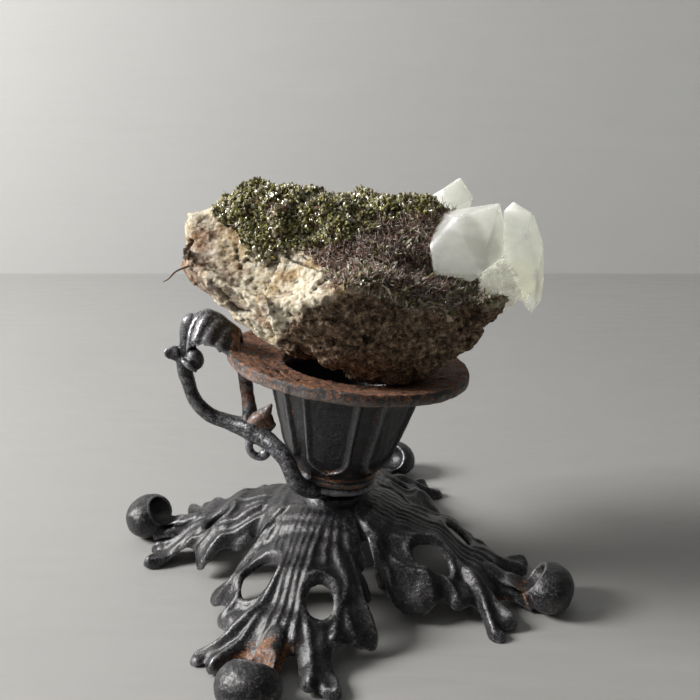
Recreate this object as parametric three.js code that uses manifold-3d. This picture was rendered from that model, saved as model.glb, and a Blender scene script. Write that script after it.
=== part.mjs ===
// Phantom quartz cluster resting in an old cast-iron chamberstick.
// Millimetres, +Z up.  The stand is built about its own vertical hub axis and the finished
// group is then moved so that the origin is the centre of its footprint, on the surface
// it stands on.  +X points away from the handle.
import * as THREE from 'three';
import { mergeVertices } from 'three/addons/utils/BufferGeometryUtils.js';
import { ConvexGeometry } from 'three/addons/geometries/ConvexGeometry.js';
import Module from 'manifold-3d';

// ---------------------------------------------------------------- driving dimensions
const GAP = 0.3;                      // clearance left between neighbouring pieces
const LEAF_REACH = 60;                // hub axis to the centre of a leaf's rolled tip
const LEAF_AZIMUTHS = { left: 161.7, front: 251.7, right: 341.7, back: 71.7 };
const HUB_RADIUS = 18;
const HUB_TOP = 26;                   // top of the hub's dome
const HUB_EDGE = 21.5;                // height of the dome where the leaves leave it
const SEAT_HEIGHT = 27.4;             // centre of the leaning seat that carries handle and cup
const CASTING = 2.6;                  // wall of the base casting
const COLLAR_HEIGHT = 2;
const CUP_HEIGHT = 29.4;              // foot of the cup to the underside of the drip pan
const CUP_LEAN_X = 6.6;               // degrees the cup leans away from the handle
const CUP_LEAN_Y = 4.4;               // degrees the cup leans to the back
const PAN_RADIUS = 32;
const PAN_RIM = 2.1;                  // thickness of the drip pan's edge
const MOUTH_RADIUS = 17.2;
const COLLAR_RADIUS = 11.2;
const SCREW_RADIUS = 2.2;
const STEM_RADIUS = 2.1;
const FLUTES = 6;
const FLUTE_TURN = -11;                // degrees from +X to the cup's first ridge

const wasm = await Module();
wasm.setup();

// ---------------------------------------------------------------- solids and meshes
function solid(geometry) {
  const plain = geometry.clone();
  plain.deleteAttribute('normal');
  plain.deleteAttribute('uv');
  const merged = mergeVertices(plain, 1e-4);
  return new wasm.Manifold(new wasm.Mesh({
    numProp: 3,
    vertProperties: new Float32Array(merged.attributes.position.array),
    triVerts: new Uint32Array(merged.index.array),
  }));
}

// The largest of the bodies that a cut leaves, without the slivers.
function largest(body) {
  return body.decompose().sort((a, b) => b.volume() - a.volume())[0];
}

function geometryOf(body) {
  const mesh = body.getMesh();
  const geometry = new THREE.BufferGeometry();
  geometry.setAttribute('position', new THREE.BufferAttribute(mesh.vertProperties, 3));
  geometry.setIndex(new THREE.BufferAttribute(mesh.triVerts, 1));
  geometry.computeVertexNormals();
  return geometry;
}

function piece(name, geometry, finish) {
  const mesh = new THREE.Mesh(geometry, new THREE.MeshStandardMaterial(finish));
  mesh.name = name;
  return mesh;
}

const IRON = { color: 0x2b2b2d, roughness: 0.55, metalness: 0.75 };
const RUSTY_IRON = { color: 0x7a4526, roughness: 0.85, metalness: 0.35 };
const STEEL = { color: 0x6f6f70, roughness: 0.45, metalness: 0.9 };
const MATRIX = { color: 0xa08a66, roughness: 0.95, metalness: 0 };
const DRUSE = { color: 0x4a5227, roughness: 0.4, metalness: 0 };
const FIBRE = { color: 0x56402f, roughness: 1, metalness: 0 };
const QUARTZ = { color: 0xdfe6dc, roughness: 0.15, metalness: 0 };

// Smooth interpolation through [x, y] pairs, held at both ends.
function along(table, x) {
  if (x <= table[0][0]) return table[0][1];
  for (let i = 1; i < table.length; i += 1) {
    const [x0, y0] = table[i - 1];
    const [x1, y1] = table[i];
    if (x <= x1) return y0 + (y1 - y0) * THREE.MathUtils.smoothstep(x, x0, x1);
  }
  return table[table.length - 1][1];
}

// Closed solid between two surfaces over the same grid: over(u, v) and under(u, v), u and v
// from 0 to 1, each giving a THREE.Vector3.  wrap joins v = 0 to v = 1 into a tube.
function sheet(uSteps, vSteps, over, under) {
  const positions = [];
  const index = [];
  const columns = vSteps + 1;
  const count = (uSteps + 1) * columns;
  for (const surface of [over, under]) {
    for (let i = 0; i <= uSteps; i += 1) {
      for (let j = 0; j <= vSteps; j += 1) positions.push(...surface(i / uSteps, j / vSteps));
    }
  }
  const quad = (a, b, c, d) => index.push(a, b, c, a, c, d);
  for (let i = 0; i < uSteps; i += 1) {
    for (let j = 0; j < vSteps; j += 1) {
      const a = i * columns + j;
      const b = a + columns;
      quad(a, b, b + 1, a + 1);
      quad(count + a, count + a + 1, count + b + 1, count + b);
    }
    const left = i * columns;
    const right = left + vSteps;
    quad(left, count + left, count + left + columns, left + columns);
    quad(right, right + columns, count + right + columns, count + right);
  }
  for (let j = 0; j < vSteps; j += 1) {
    const end = uSteps * columns + j;
    quad(j, j + 1, count + j + 1, count + j);
    quad(end, count + end, count + end + 1, end + 1);
  }
  const geometry = new THREE.BufferGeometry();
  geometry.setAttribute('position', new THREE.Float32BufferAttribute(positions, 3));
  geometry.setIndex(index);
  return geometry;
}

// Closed loft through rings of points; the first and last rings are capped with a fan.
function loft(rings) {
  const sides = rings[0].length;
  const positions = rings.flat().flatMap((p) => [p.x, p.y, p.z]);
  const index = [];
  for (let i = 0; i + 1 < rings.length; i += 1) {
    for (let j = 0; j < sides; j += 1) {
      const k = (j + 1) % sides;
      const low = i * sides;
      const high = low + sides;
      index.push(low + j, low + k, high + k, low + j, high + k, high + j);
    }
  }
  const cap = (ring, flip) => {
    const centre = new THREE.Vector3();
    rings[ring].forEach((p) => centre.addScaledVector(p, 1 / sides));
    const hub = positions.length / 3;
    positions.push(centre.x, centre.y, centre.z);
    for (let j = 0; j < sides; j += 1) {
      const a = ring * sides + j;
      const b = ring * sides + ((j + 1) % sides);
      index.push(...(flip ? [hub, b, a] : [hub, a, b]));
    }
  };
  cap(0, true);
  cap(rings.length - 1, false);
  const geometry = new THREE.BufferGeometry();
  geometry.setAttribute('position', new THREE.Float32BufferAttribute(positions, 3));
  geometry.setIndex(index);
  return geometry;
}

// Lathe about Z from [radius, height] pairs running up the outside.
function turned(profile, segments) {
  const points = profile.map(([r, z]) => new THREE.Vector2(r, z));
  return new THREE.LatheGeometry(points, segments).rotateX(Math.PI / 2);
}

function prism(outline, holes, low, high) {
  const shape = new THREE.Shape(outline);
  shape.holes = holes;
  const geometry = new THREE.ExtrudeGeometry(shape, {
    depth: high - low, bevelEnabled: false, curveSegments: 6,
  });
  return solid(geometry.translate(0, 0, low));
}

function ball(x, y, z, rx, ry, rz, segments = 11) {
  const geometry = new THREE.SphereGeometry(1, segments, Math.round(segments * 0.7));
  return solid(geometry.scale(rx, ry, rz).translate(x, y, z));
}

function rod(points, radius, steps) {
  const path = new THREE.CatmullRomCurve3(points.map((p) => new THREE.Vector3(...p)));
  const section = new THREE.Shape();
  section.absarc(0, 0, radius, 0, 2 * Math.PI);
  return new THREE.ExtrudeGeometry(section, { steps, curveSegments: 4, extrudePath: path });
}

// Solid of a convex crystal, and the same crystal grown on all sides to cut its socket.
function crystal(corners, growth = 0) {
  const points = corners.map((p) => new THREE.Vector3(...p));
  const centre = new THREE.Vector3();
  points.forEach((p) => centre.addScaledVector(p, 1 / points.length));
  for (const p of points) {
    const arm = p.clone().sub(centre);
    p.addScaledVector(arm.normalize(), growth);
  }
  return solid(new ConvexGeometry(points));
}

const ABOVE_FLOOR = solid(new THREE.BoxGeometry(400, 400, 200).translate(0, 0, 100));

// ---------------------------------------------------------------- base casting
// Height of the leaf's top face: r runs outward from the hub axis, t across the leaf.
const LEAF_SPINE = [[11, 23.2], [19, 21.4], [28, 18.6], [39, 11.4], [50, 5.2], [58, 3.4], [64, 3.2]];
const LEAF_DROOP = [[14, 0.012], [19, 0.03], [31, 0.0205], [42, 0.0165], [52, 0.0065], [60, 0.004]];
function leafTop(r, t) {
  return along(LEAF_SPINE, r) - along(LEAF_DROOP, r) * t * t;
}

// One side of the leaf's lobed edge, hub to tip: [r, t] with t measured from the midrib.
const LEAF_EDGE = [
  [13.4, 12.4], [16.5, 16.2], [20.5, 18.8], [22.6, 17.6], [25, 20.8], [29.5, 24.4],
  [33.6, 24.6], [34.4, 21.4], [37.6, 20.6], [38.4, 18.2], [43, 17.2], [47.5, 19.6],
  [52, 20], [53.6, 17.4], [51.4, 15.2], [54.6, 13.6], [54.2, 10.8], [48.4, 8.4],
  [47.6, 6.4], [52, 5], [57, 5.4],
];
const LEAF_HOLES = [
  { r: 31.6, t: 7.6, long: 5.4, wide: 3.5 },
  { r: 30, t: -9.8, long: 5.8, wide: 4.2 },
];

function leafOutline() {
  const toPoint = (side) => ([r, t]) => new THREE.Vector2(r, side * t);
  const near = LEAF_EDGE.map(toPoint(-1));
  const far = LEAF_EDGE.map(toPoint(1)).reverse();
  const root = [];
  for (let degrees = 38; degrees >= -38; degrees -= 19) {
    const angle = THREE.MathUtils.degToRad(degrees);
    const radius = HUB_RADIUS + GAP;
    root.push(new THREE.Vector2(radius * Math.cos(angle), radius * Math.sin(angle)));
  }
  return [...near, ...far, ...root];
}

function leafHole({ r, t, long, wide }) {
  const hole = new THREE.Path();
  hole.absellipse(r, t, long, wide, 0, 2 * Math.PI, true, 0.25 * Math.sign(t));
  return hole;
}

// A leaf arches down from the hub, is pierced twice, and ends in a rolled tip that carries
// the stand: its underside is ground flat.
function leaf(name, azimuth) {
  const place = (drop) => (u, v) => {
    const r = 11 + 50 * u;
    const t = 26 * (2 * v - 1);
    return new THREE.Vector3(r, t, leafTop(r, t) - drop);
  };
  const slab = solid(sheet(9, 8, place(0), place(CASTING)));
  const plate = slab.intersect(prism(leafOutline(), LEAF_HOLES.map(leafHole), -20, 40));
  const tip = ball(LEAF_REACH, 0, 5.9, 6.6, 8.1, 6.4);
  const hollow = ball(LEAF_REACH - 5.6, 0, 8.6, 5.2, 5.4, 4.2, 8);
  const body = plate.add(tip).subtract(hollow).intersect(ABOVE_FLOOR);
  const mesh = piece(name, geometryOf(body), IRON);
  mesh.rotation.z = THREE.MathUtils.degToRad(azimuth);
  return mesh;
}

// The handle and the cup stand on the hub's seat and lean together.
const LEAN = new THREE.Vector3(
  Math.tan(THREE.MathUtils.degToRad(CUP_LEAN_X)),
  Math.tan(THREE.MathUtils.degToRad(CUP_LEAN_Y)),
  1,
).normalize();
const UPRIGHT_TO_LEAN = new THREE.Matrix4().compose(
  new THREE.Vector3(-0.2, 0.2, SEAT_HEIGHT),
  new THREE.Quaternion().setFromUnitVectors(new THREE.Vector3(0, 0, 1), LEAN),
  new THREE.Vector3(1, 1, 1),
);

function leaning(geometry) {
  return solid(geometry.applyMatrix4(UPRIGHT_TO_LEAN));
}

function baseHub() {
  const dome = turned([
    [0, HUB_TOP - 4.6], [9, HUB_TOP - 4.8], [HUB_RADIUS, HUB_EDGE - CASTING],
    [HUB_RADIUS, HUB_EDGE], [14.8, HUB_EDGE + 2.1], [11.6, HUB_TOP - 0.6], [9.6, HUB_TOP],
    [0, HUB_TOP],
  ], 32);
  const seat = turned([[0, -4], [9, -4], [9, 0], [0, 0]], 24);
  const bore = turned([[0, -12], [3, -12], [3, 4], [0, 4]], 16);
  const body = solid(dome).add(leaning(seat)).subtract(leaning(bore));
  return piece('base_hub', geometryOf(body), IRON);
}

// ---------------------------------------------------------------- candle cup and drip pan
const CUP_FOOT = GAP + COLLAR_HEIGHT + GAP;      // along the leaning axis, from the seat
const PAN_FOOT = CUP_FOOT + CUP_HEIGHT + GAP;
const CUP_PROFILE = [[0, 11.2], [1.8, 10.8], [2.6, 11.2], [4.2, 12.5], [8.6, 14.5], [17.6, 17.2],
  [24, 19.4], [CUP_HEIGHT, 21.6]];

// A round casting hole runs down and out through the back of the cup's mouth.
function castingHole() {
  const bore = new THREE.CylinderGeometry(3.6, 3.6, 22, 12);
  bore.rotateX(THREE.MathUtils.degToRad(-16));
  return bore.translate(-14.3, 15, 30.7);
}

function flutedRing(height, radius, depth) {
  const ring = [];
  const perFlute = 6;
  for (let j = 0; j < FLUTES * perFlute; j += 1) {
    const angle = (2 * Math.PI * j) / (FLUTES * perFlute) + THREE.MathUtils.degToRad(FLUTE_TURN);
    const ridge = j % perFlute === 0 ? 1 : 0.25;
    const r = radius - depth * (1 - ridge);
    ring.push(new THREE.Vector3(r * Math.cos(angle), r * Math.sin(angle), height));
  }
  return ring;
}

function candleCup() {
  const rings = CUP_PROFILE.map(([z, r]) => flutedRing(z, r, z < 3 ? 0 : 0.9));
  const inside = turned([
    [0, 3.2], [6.6, 3.2], [9, 5.5], [12, 9.5], [14.6, 18.5], [MOUTH_RADIUS, 25],
    [MOUTH_RADIUS, CUP_HEIGHT + 1], [0, CUP_HEIGHT + 1],
  ], 28);
  const bore = turned([
    [0, -1], [SCREW_RADIUS + GAP, -1], [SCREW_RADIUS + GAP, 5], [0, 5],
  ], 16);
  const hole = castingHole().translate(0, 0, -CUP_FOOT);
  const body = solid(loft(rings)).subtract(solid(inside))
    .subtract(solid(bore)).subtract(solid(hole));
  const mesh = piece('candle_cup', geometryOf(body), IRON);
  mesh.position.z = CUP_FOOT;
  return mesh;
}

function dripPan() {
  const profile = [
    [MOUTH_RADIUS, 0], [22, 0.2], [PAN_RADIUS - 3, 1.6], [PAN_RADIUS, 1.9],
    [PAN_RADIUS + 0.2, 2.7], [PAN_RADIUS, 1.9 + PAN_RIM], [PAN_RADIUS - 3, 3.8],
    [22, 2.2], [MOUTH_RADIUS, 1.6], [MOUTH_RADIUS, 0],
  ];
  const hole = castingHole().translate(0, 0, -PAN_FOOT);
  const body = solid(turned(profile, 40)).subtract(solid(hole));
  const mesh = piece('drip_pan', geometryOf(body), RUSTY_IRON);
  mesh.position.z = PAN_FOOT;
  return mesh;
}

function clampScrew() {
  const profile = [
    [0, -12.6], [SCREW_RADIUS - 0.4, -12.6], [SCREW_RADIUS, -12.1], [SCREW_RADIUS, 6.1],
    [4.6, 6.1], [4.4, 7.5], [2.6, 8.6], [0, 8.9],
  ];
  const slot = new THREE.BoxGeometry(12, 1.1, 1.6).translate(0, 0, 8.7);
  const body = solid(turned(profile, 20)).subtract(solid(slot));
  return piece('clamp_screw', geometryOf(body), STEEL);
}

function washer() {
  const inner = SCREW_RADIUS + GAP;
  const profile = [[inner, 0], [6, 0], [6, 0.8], [inner, 0.8], [inner, 0]];
  const mesh = piece('washer', turned(profile, 20), STEEL);
  mesh.position.z = -8.2;
  return mesh;
}

function squareNut() {
  const reach = SCREW_RADIUS + GAP;
  const bore = turned([[0, -5], [reach, -5], [reach, 5], [0, 5]], 16);
  const body = solid(new THREE.BoxGeometry(8, 8, 3)).subtract(solid(bore));
  const mesh = piece('square_nut', geometryOf(body), STEEL);
  mesh.position.z = -10.1;
  return mesh;
}

// ---------------------------------------------------------------- handle
// A vine: one stem climbs from the collar to a fork; the outer branch bows out and up to
// the buds and the thumb leaf, the inner one rises under the drip pan.
const STEM = [[-6.2, -7.2, 29.8], [-9.4, -10, 32], [-11.1, -10.2, 36], [-13, -8.8, 39.1],
  [-15.8, -6.6, 41.3], [-19.4, -3.6, 42.8], [-23.6, -1, 44.2], [-28.4, 1, 45], [-33.8, 2, 46.9],
  [-37.2, 2, 50.4], [-39, 2, 55.6], [-39.8, 2, 61], [-38.6, 2, 66.4], [-38.4, 2, 71],
  [-37.4, 2, 73.2]];
const INNER_STEM = [[-23, -0.6, 44], [-22.8, 0.6, 48], [-23.4, 2, 53], [-23.9, 2.8, 58],
  [-23.8, 3, 61.6]];
const THUMB_SPINE = [[-38.6, 2, 72], [-37, 2, 75], [-33.4, 2, 76.4], [-29.8, 2, 75.2],
  [-26.8, 2, 72.8], [-24.6, 2, 71]];

const vine = (growth) => solid(rod(STEM, STEM_RADIUS + growth, 28));

function handleVine() {
  const low = GAP;
  const high = GAP + COLLAR_HEIGHT;
  const bore = SCREW_RADIUS + 2 * GAP;
  const collar = leaning(turned([
    [bore, low], [COLLAR_RADIUS, low], [COLLAR_RADIUS + 0.5, (low + high) / 2],
    [COLLAR_RADIUS, high], [bore, high], [bore, low],
  ], 24));
  const cupRoom = leaning(turned([
    [0, high], [COLLAR_RADIUS + 0.5, high], [11.6, CUP_FOOT + 2.6], [15, CUP_FOOT + 8.6],
    [17.7, CUP_FOOT + 17.6], [0, CUP_FOOT + 17.6],
  ], 24));
  const hubRoom = leaning(turned([[0, -6], [COLLAR_RADIUS + 3, -6], [COLLAR_RADIUS + 3, low],
    [0, low]], 24));
  const buds = ball(-36.7, 0.6, 63.2, 2.7, 2.8, 3.1, 9)
    .add(ball(-42.4, 1.6, 65.2, 2.3, 2.3, 2.2, 8))
    .add(ball(-39.8, 2, 63.4, 3, 2.7, 2.2, 8));
  const stem = vine(0).subtract(cupRoom).subtract(hubRoom);
  return piece('handle_vine', geometryOf(stem.add(collar).add(buds)), IRON);
}

function innerStem() {
  const body = solid(rod(INNER_STEM, 2, 9)).subtract(vine(GAP));
  return piece('inner_stem', geometryOf(body), RUSTY_IRON);
}

// The leaf arches over the loop and its two flanks droop, so a thumb rides on its back.
function thumbLeaf() {
  const spine = new THREE.CatmullRomCurve3(THUMB_SPINE.map((p) => new THREE.Vector3(...p)));
  const place = (lift) => (u, v) => {
    const side = 2 * v - 1;
    const spread = 2.6 + 3.6 * Math.sin(Math.PI * Math.min(0.62, 0.12 + 0.6 * u));
    const point = spine.getPoint(u);
    point.y += spread * side;
    point.z += lift - 1.05 * spread * side * side;
    return point;
  };
  const panRoom = leaning(turned([
    [0, PAN_FOOT - 2], [PAN_RADIUS + 0.6, PAN_FOOT - 2], [PAN_RADIUS + 0.6, PAN_FOOT + 4.5],
    [0, PAN_FOOT + 4.5],
  ], 48));
  const body = solid(sheet(8, 6, place(0), place(-1.8))).subtract(vine(GAP)).subtract(panRoom);
  return piece('thumb_leaf', geometryOf(body), IRON);
}

function thornLeaf() {
  const body = crystal([[-22.6, -2.6, 46], [-22.6, 1, 46], [-16.4, -1.4, 51.4],
    [-16.8, -3.4, 44.6], [-16.8, 0.4, 44.6], [-19.6, -4, 48], [-19.6, 1.4, 48], [-20.6, -1.6, 43.4]]);
  const inner = solid(rod(INNER_STEM, 2 + GAP, 9));
  return piece('thorn_leaf', geometryOf(body.subtract(vine(GAP)).subtract(inner)), RUSTY_IRON);
}

function curledTendril() {
  const hook = [[-22.2, -3.2, 41.8], [-22.9, -3.6, 39.4], [-21.6, -3.8, 37.6], [-19.6, -4, 37.2],
    [-18.4, -4, 38]];
  const body = solid(rod(hook, 1.5, 9)).subtract(vine(GAP));
  return piece('curled_tendril', geometryOf(body), IRON);
}

// ---------------------------------------------------------------- specimen
// Sections of the rock along X: bottom, top, front crest and back, each as
// [x, bottom z, top z, crest y, crest z, back y].
const ROCK_SECTIONS = [
  [-39, 91, 99.8, -8, 95.5, 11], [-36.8, 88.4, 101.4, -12, 93.5, 15], [-30, 82.2, 103, -16.5, 90, 20],
  [-21, 75.2, 107, -20, 87, 24], [-12, 70.4, 106.4, -23, 85, 26], [0, 66.8, 105, -24.5, 88.5, 27],
  [10, 62.2, 103.8, -24.5, 91, 27], [21, 61.4, 103.8, -23, 88, 25], [30, 67, 100, -19, 84.5, 21],
  [40, 75.4, 92, -13, 83.5, 15], [45.5, 79.6, 87.4, -7, 83, 8],
];

// One loop of the rock's skin, pushed out by growth: crest, down the front, under the keel,
// up the back, over the top and down into the hollow behind the crest.
function rockRing([x, bottom, top, crestY, crestZ, backY], growth = 0) {
  const slope = (a) => THREE.MathUtils.lerp(top, crestZ, a);
  const loop = [
    [crestY, crestZ], [0.86 * crestY, 0.45 * crestZ + 0.55 * bottom], [0.5 * crestY, bottom],
    [0.34 * backY, bottom - 0.4], [0.84 * backY, 0.5 * (bottom + crestZ)], [backY, crestZ + 2],
    [0.8 * backY, top - 4], [0.42 * backY, top - 0.3], [0.05 * backY, top],
    [0.3 * crestY, slope(0.42)], [0.66 * crestY, slope(0.9)],
  ];
  const middle = 0.5 * (bottom + top);
  return loop.map(([y, z]) => {
    const arm = new THREE.Vector3(0, y, z - middle);
    arm.setLength(arm.length() + growth);
    return new THREE.Vector3(x, arm.y, middle + arm.z);
  });
}

const rock = (growth) => {
  const grown = ROCK_SECTIONS.map(([x, ...rest]) => [x + growth * Math.sign(x), ...rest]);
  return solid(loft(grown.map((section) => rockRing(section, growth))));
};

// A crust over the stretch of skin between two sections and two points of their loops.
function crust(sections, from, to, thickness) {
  const surface = (growth) => {
    const grid = ROCK_SECTIONS.slice(...sections)
      .map((section) => rockRing(section, growth).slice(from, to + 1).reverse());
    return (u, v) => grid[Math.round(u * (grid.length - 1))][Math.round(v * (to - from))];
  };
  const rows = sections[1] - sections[0] - 1;
  return solid(sheet(rows, to - from, surface(thickness), surface(-1))).subtract(rock(GAP));
}

const CRYSTALS = {
  quartz_main: [[24.4, -12, 90], [23.4, -10, 96.4], [29, -9, 102.8], [40.3, -6, 105.9],
    [35.4, -13.4, 90.4], [42.4, -4, 99.8], [42.2, -5, 92.6], [27, 5, 101.5], [37.6, 6, 103],
    [41.6, 6, 93], [25, 6, 90], [34, -8, 86.6], [28, -4, 85]],
  quartz_right: [[45.2, -1, 104.9], [42.6, -2.6, 102], [48.8, -3, 101.8], [52.6, -2, 93.6],
    [53.4, -1, 85.6], [53.3, 0, 79.6], [50.6, -3, 77.2], [45.6, -8, 85.8], [42.8, -7, 92],
    [47, -7, 98.4], [50, -7.6, 88], [50.4, -6, 80], [44.8, 5, 100], [50.6, 5, 97.6],
    [52.2, 6, 87], [46.6, 6, 81]],
  quartz_back: [[33, 14, 109], [26, 14, 104.4], [27.6, 11, 106], [36.6, 13, 103.8],
    [30.4, 9.4, 101.4], [35.6, 19, 103], [27, 19, 103], [28.6, 12, 96], [34, 13, 96],
    [30, 18, 95]],
  quartz_root: [[35, -9.6, 84.8], [37, -9.6, 89], [42, -8.6, 91.4], [45.4, -8.4, 86.4],
    [47.4, -6, 82], [43, -9, 80.4], [40, 3, 90], [46, 3, 84], [38, 3, 79.6]],
  quartz_small_right: [[48.6, -8.6, 84.4], [50.4, -9.2, 82], [49.2, -9.4, 79], [47.2, -8.8, 81],
    [48.4, -4.6, 81.6]],
  quartz_small_front: [[26.4, -21.6, 83], [28.4, -22.8, 81.6], [29.6, -21.4, 79.4],
    [27, -21, 78.6], [27.8, -16, 80.4]],
};

function specimen() {
  const parts = new THREE.Group();
  const socket = 1.7 * GAP;
  const grown = Object.values(CRYSTALS).map((corners) => crystal(corners, socket));
  const panRoom = leaning(turned([
    [MOUTH_RADIUS - 1.2, -8], [PAN_RADIUS + 1, -8], [PAN_RADIUS + 1, 1.9 + PAN_RIM + 0.4],
    [PAN_RADIUS - 3, 4.3], [22, 2.7], [MOUTH_RADIUS - 1.2, 2.1], [MOUTH_RADIUS - 1.2, -8],
  ], 32).translate(0, 0, PAN_FOOT));
  let matrix = rock(0).subtract(panRoom);
  let druse = crust([2, 9], 6, 9, 2.4);
  let fibre = crust([4, 8], 9, 10, 1.4);
  fibre = fibre.subtract(druse).subtract(druse.translate([0, -GAP, -GAP]));
  for (const room of grown) {
    matrix = matrix.subtract(room);
    druse = druse.subtract(room);
    fibre = fibre.subtract(room);
  }
  parts.add(piece('rock_matrix', geometryOf(matrix), MATRIX));
  parts.add(piece('green_druse', geometryOf(largest(druse)), DRUSE));
  parts.add(piece('fibre_mat', geometryOf(largest(fibre)), FIBRE));
  const names = Object.keys(CRYSTALS);
  names.forEach((name, i) => {
    let body = crystal(CRYSTALS[name]);
    for (const earlier of grown.slice(0, i)) body = body.subtract(earlier);
    parts.add(piece(name, geometryOf(body), QUARTZ));
  });
  return parts;
}

// ---------------------------------------------------------------- assembly
const leaningGroup = new THREE.Group();
leaningGroup.applyMatrix4(UPRIGHT_TO_LEAN);
leaningGroup.add(candleCup(), dripPan(), clampScrew(), washer(), squareNut());

const chamberstick = new THREE.Group();
chamberstick.add(baseHub(), leaningGroup);
for (const [side, azimuth] of Object.entries(LEAF_AZIMUTHS)) {
  chamberstick.add(leaf(`leaf_${side}`, azimuth));
}
chamberstick.add(handleVine(), innerStem(), thumbLeaf(), thornLeaf(), curledTendril());
chamberstick.add(specimen());

// The origin goes to the centre of the footprint.
chamberstick.updateMatrixWorld(true);
const box = new THREE.Box3().setFromObject(chamberstick, true);
chamberstick.position.set(-(box.min.x + box.max.x) / 2, -(box.min.y + box.max.y) / 2, -box.min.z);

export default chamberstick;
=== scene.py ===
import math
import random

import bmesh
import bpy
import numpy as np
from mathutils import Matrix, Vector, noise
from mathutils.geometry import delaunay_2d_cdt


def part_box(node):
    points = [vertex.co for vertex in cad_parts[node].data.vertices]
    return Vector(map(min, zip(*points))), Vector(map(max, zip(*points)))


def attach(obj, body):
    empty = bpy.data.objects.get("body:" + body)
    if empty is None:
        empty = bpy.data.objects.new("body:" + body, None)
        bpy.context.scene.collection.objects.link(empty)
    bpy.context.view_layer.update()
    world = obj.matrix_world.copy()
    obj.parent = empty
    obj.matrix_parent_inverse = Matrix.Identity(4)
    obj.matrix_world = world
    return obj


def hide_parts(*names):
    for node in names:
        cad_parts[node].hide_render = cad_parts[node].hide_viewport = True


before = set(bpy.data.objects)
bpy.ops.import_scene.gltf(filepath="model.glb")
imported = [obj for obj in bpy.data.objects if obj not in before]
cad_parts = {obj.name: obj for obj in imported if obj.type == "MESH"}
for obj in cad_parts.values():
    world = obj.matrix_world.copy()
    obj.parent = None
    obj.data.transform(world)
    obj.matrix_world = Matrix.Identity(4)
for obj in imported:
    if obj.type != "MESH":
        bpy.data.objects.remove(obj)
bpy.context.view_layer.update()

# Phantom quartz cluster resting in an old cast-iron chamberstick.
# Every length below is in millimetres in the frame whose Z axis is the base hub's axis and
# whose z = 0 is the floor.  to_frame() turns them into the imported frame's metres.
MM = 0.001
HUB_LOW, HUB_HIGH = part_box("base_hub")
HUB_AXIS = np.array([(HUB_LOW.x + HUB_HIGH.x) / 2, (HUB_LOW.y + HUB_HIGH.y) / 2, 0.0])


def to_frame(points):
    return np.asarray(points, float) * MM + HUB_AXIS


# ------------------------------------------------------------------ camera, floor and light
CAMERA_AT = (4.2, -222.0, 145.8)
CAMERA_PITCH = 19.74
CAMERA_LENS = 46.29


def make_camera():
    camera = bpy.data.objects.new("camera", bpy.data.cameras.new("camera"))
    bpy.context.scene.collection.objects.link(camera)
    camera.location = to_frame(CAMERA_AT)
    camera.rotation_euler = (math.radians(90 - CAMERA_PITCH), 0, 0)
    camera.data.lens = CAMERA_LENS
    camera.data.clip_start = 0.01
    camera.data.clip_end = 20
    bpy.context.scene.camera = camera


def area_light(name, at, aim, size, watts, colour, spread=180):
    light = bpy.data.lights.new(name, "AREA")
    light.spread = math.radians(spread)
    light.shape = "RECTANGLE"
    light.size, light.size_y = (s * MM for s in size)
    light.energy = watts
    light.color = colour
    lamp = bpy.data.objects.new(name, light)
    bpy.context.scene.collection.objects.link(lamp)
    lamp.location = to_frame(at)
    lamp.rotation_euler = Vector(np.subtract(aim, at)).to_track_quat("-Z", "Y").to_euler()


def make_light():
    """A window on the left, about 35 degrees up, and a room that is darker in front."""
    area_light("window", (-640, -40, 450), (0, 0, 60), (240, 290), 11.0, (1.0, 0.985, 0.965))
    area_light("sky", (-150, 150, 900), (0, 0, 40), (700, 500), 0.8, (0.94, 0.97, 1.0))
    area_light("wall_wash", (620, -100, 420), (330, 326, 60), (300, 200), 0.18, (0.97, 0.98, 1.0), 70)
    world = bpy.data.worlds.new("studio")
    bpy.context.scene.world = world
    world.use_nodes = True
    tree = world.node_tree
    background = tree.nodes["Background"]
    place = tree.nodes.new("ShaderNodeTexCoord")
    towards = tree.nodes.new("ShaderNodeVectorMath")
    towards.operation = "DOT_PRODUCT"
    towards.inputs[1].default_value = Vector((-0.62, 0.45, 0.64))
    tree.links.new(place.outputs["Generated"], towards.inputs[0])
    glow = tree.nodes.new("ShaderNodeMapRange")
    for key, number in zip(("From Min", "From Max", "To Min", "To Max"), (-0.6, 1.0, 0.05, 0.42)):
        glow.inputs[key].default_value = number
    tree.links.new(towards.outputs["Value"], glow.inputs["Value"])
    seen = tree.nodes.new("ShaderNodeLightPath")
    level = tree.nodes.new("ShaderNodeMix")
    tree.links.new(seen.outputs["Is Camera Ray"], level.inputs[0])
    tree.links.new(glow.outputs["Result"], level.inputs[2])
    level.inputs[3].default_value = 0.72
    background.inputs["Color"].default_value = (0.62, 0.62, 0.6, 1)
    tree.links.new(level.outputs[0], background.inputs["Strength"])
    bpy.context.scene.view_settings.view_transform = "Standard"


# ------------------------------------------------------------------ mesh helpers
def mesh_object(name, points, faces, smooth=True):
    mesh = bpy.data.meshes.new(name)
    mesh.from_pydata(to_frame(points).tolist(), [], [list(map(int, f)) for f in faces])
    mesh.update()
    mesh.polygons.foreach_set("use_smooth", [smooth] * len(mesh.polygons))
    thing = bpy.data.objects.new(name, mesh)
    bpy.context.scene.collection.objects.link(thing)
    return thing


def along(table, x):
    """Smooth interpolation through [x, y] pairs, held at both ends."""
    xs, ys = zip(*table)
    x = np.clip(x, xs[0], xs[-1])
    i = np.clip(np.searchsorted(xs, x, side="right") - 1, 0, len(xs) - 2)
    xs, ys = np.array(xs, float), np.array(ys, float)
    share = (x - xs[i]) / (xs[i + 1] - xs[i])
    share = share * share * (3 - 2 * share)
    return ys[i] + (ys[i + 1] - ys[i]) * share


def read(table, x):
    """Straight-line interpolation through [x, y] pairs."""
    return np.interp(x, *zip(*table))


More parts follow.
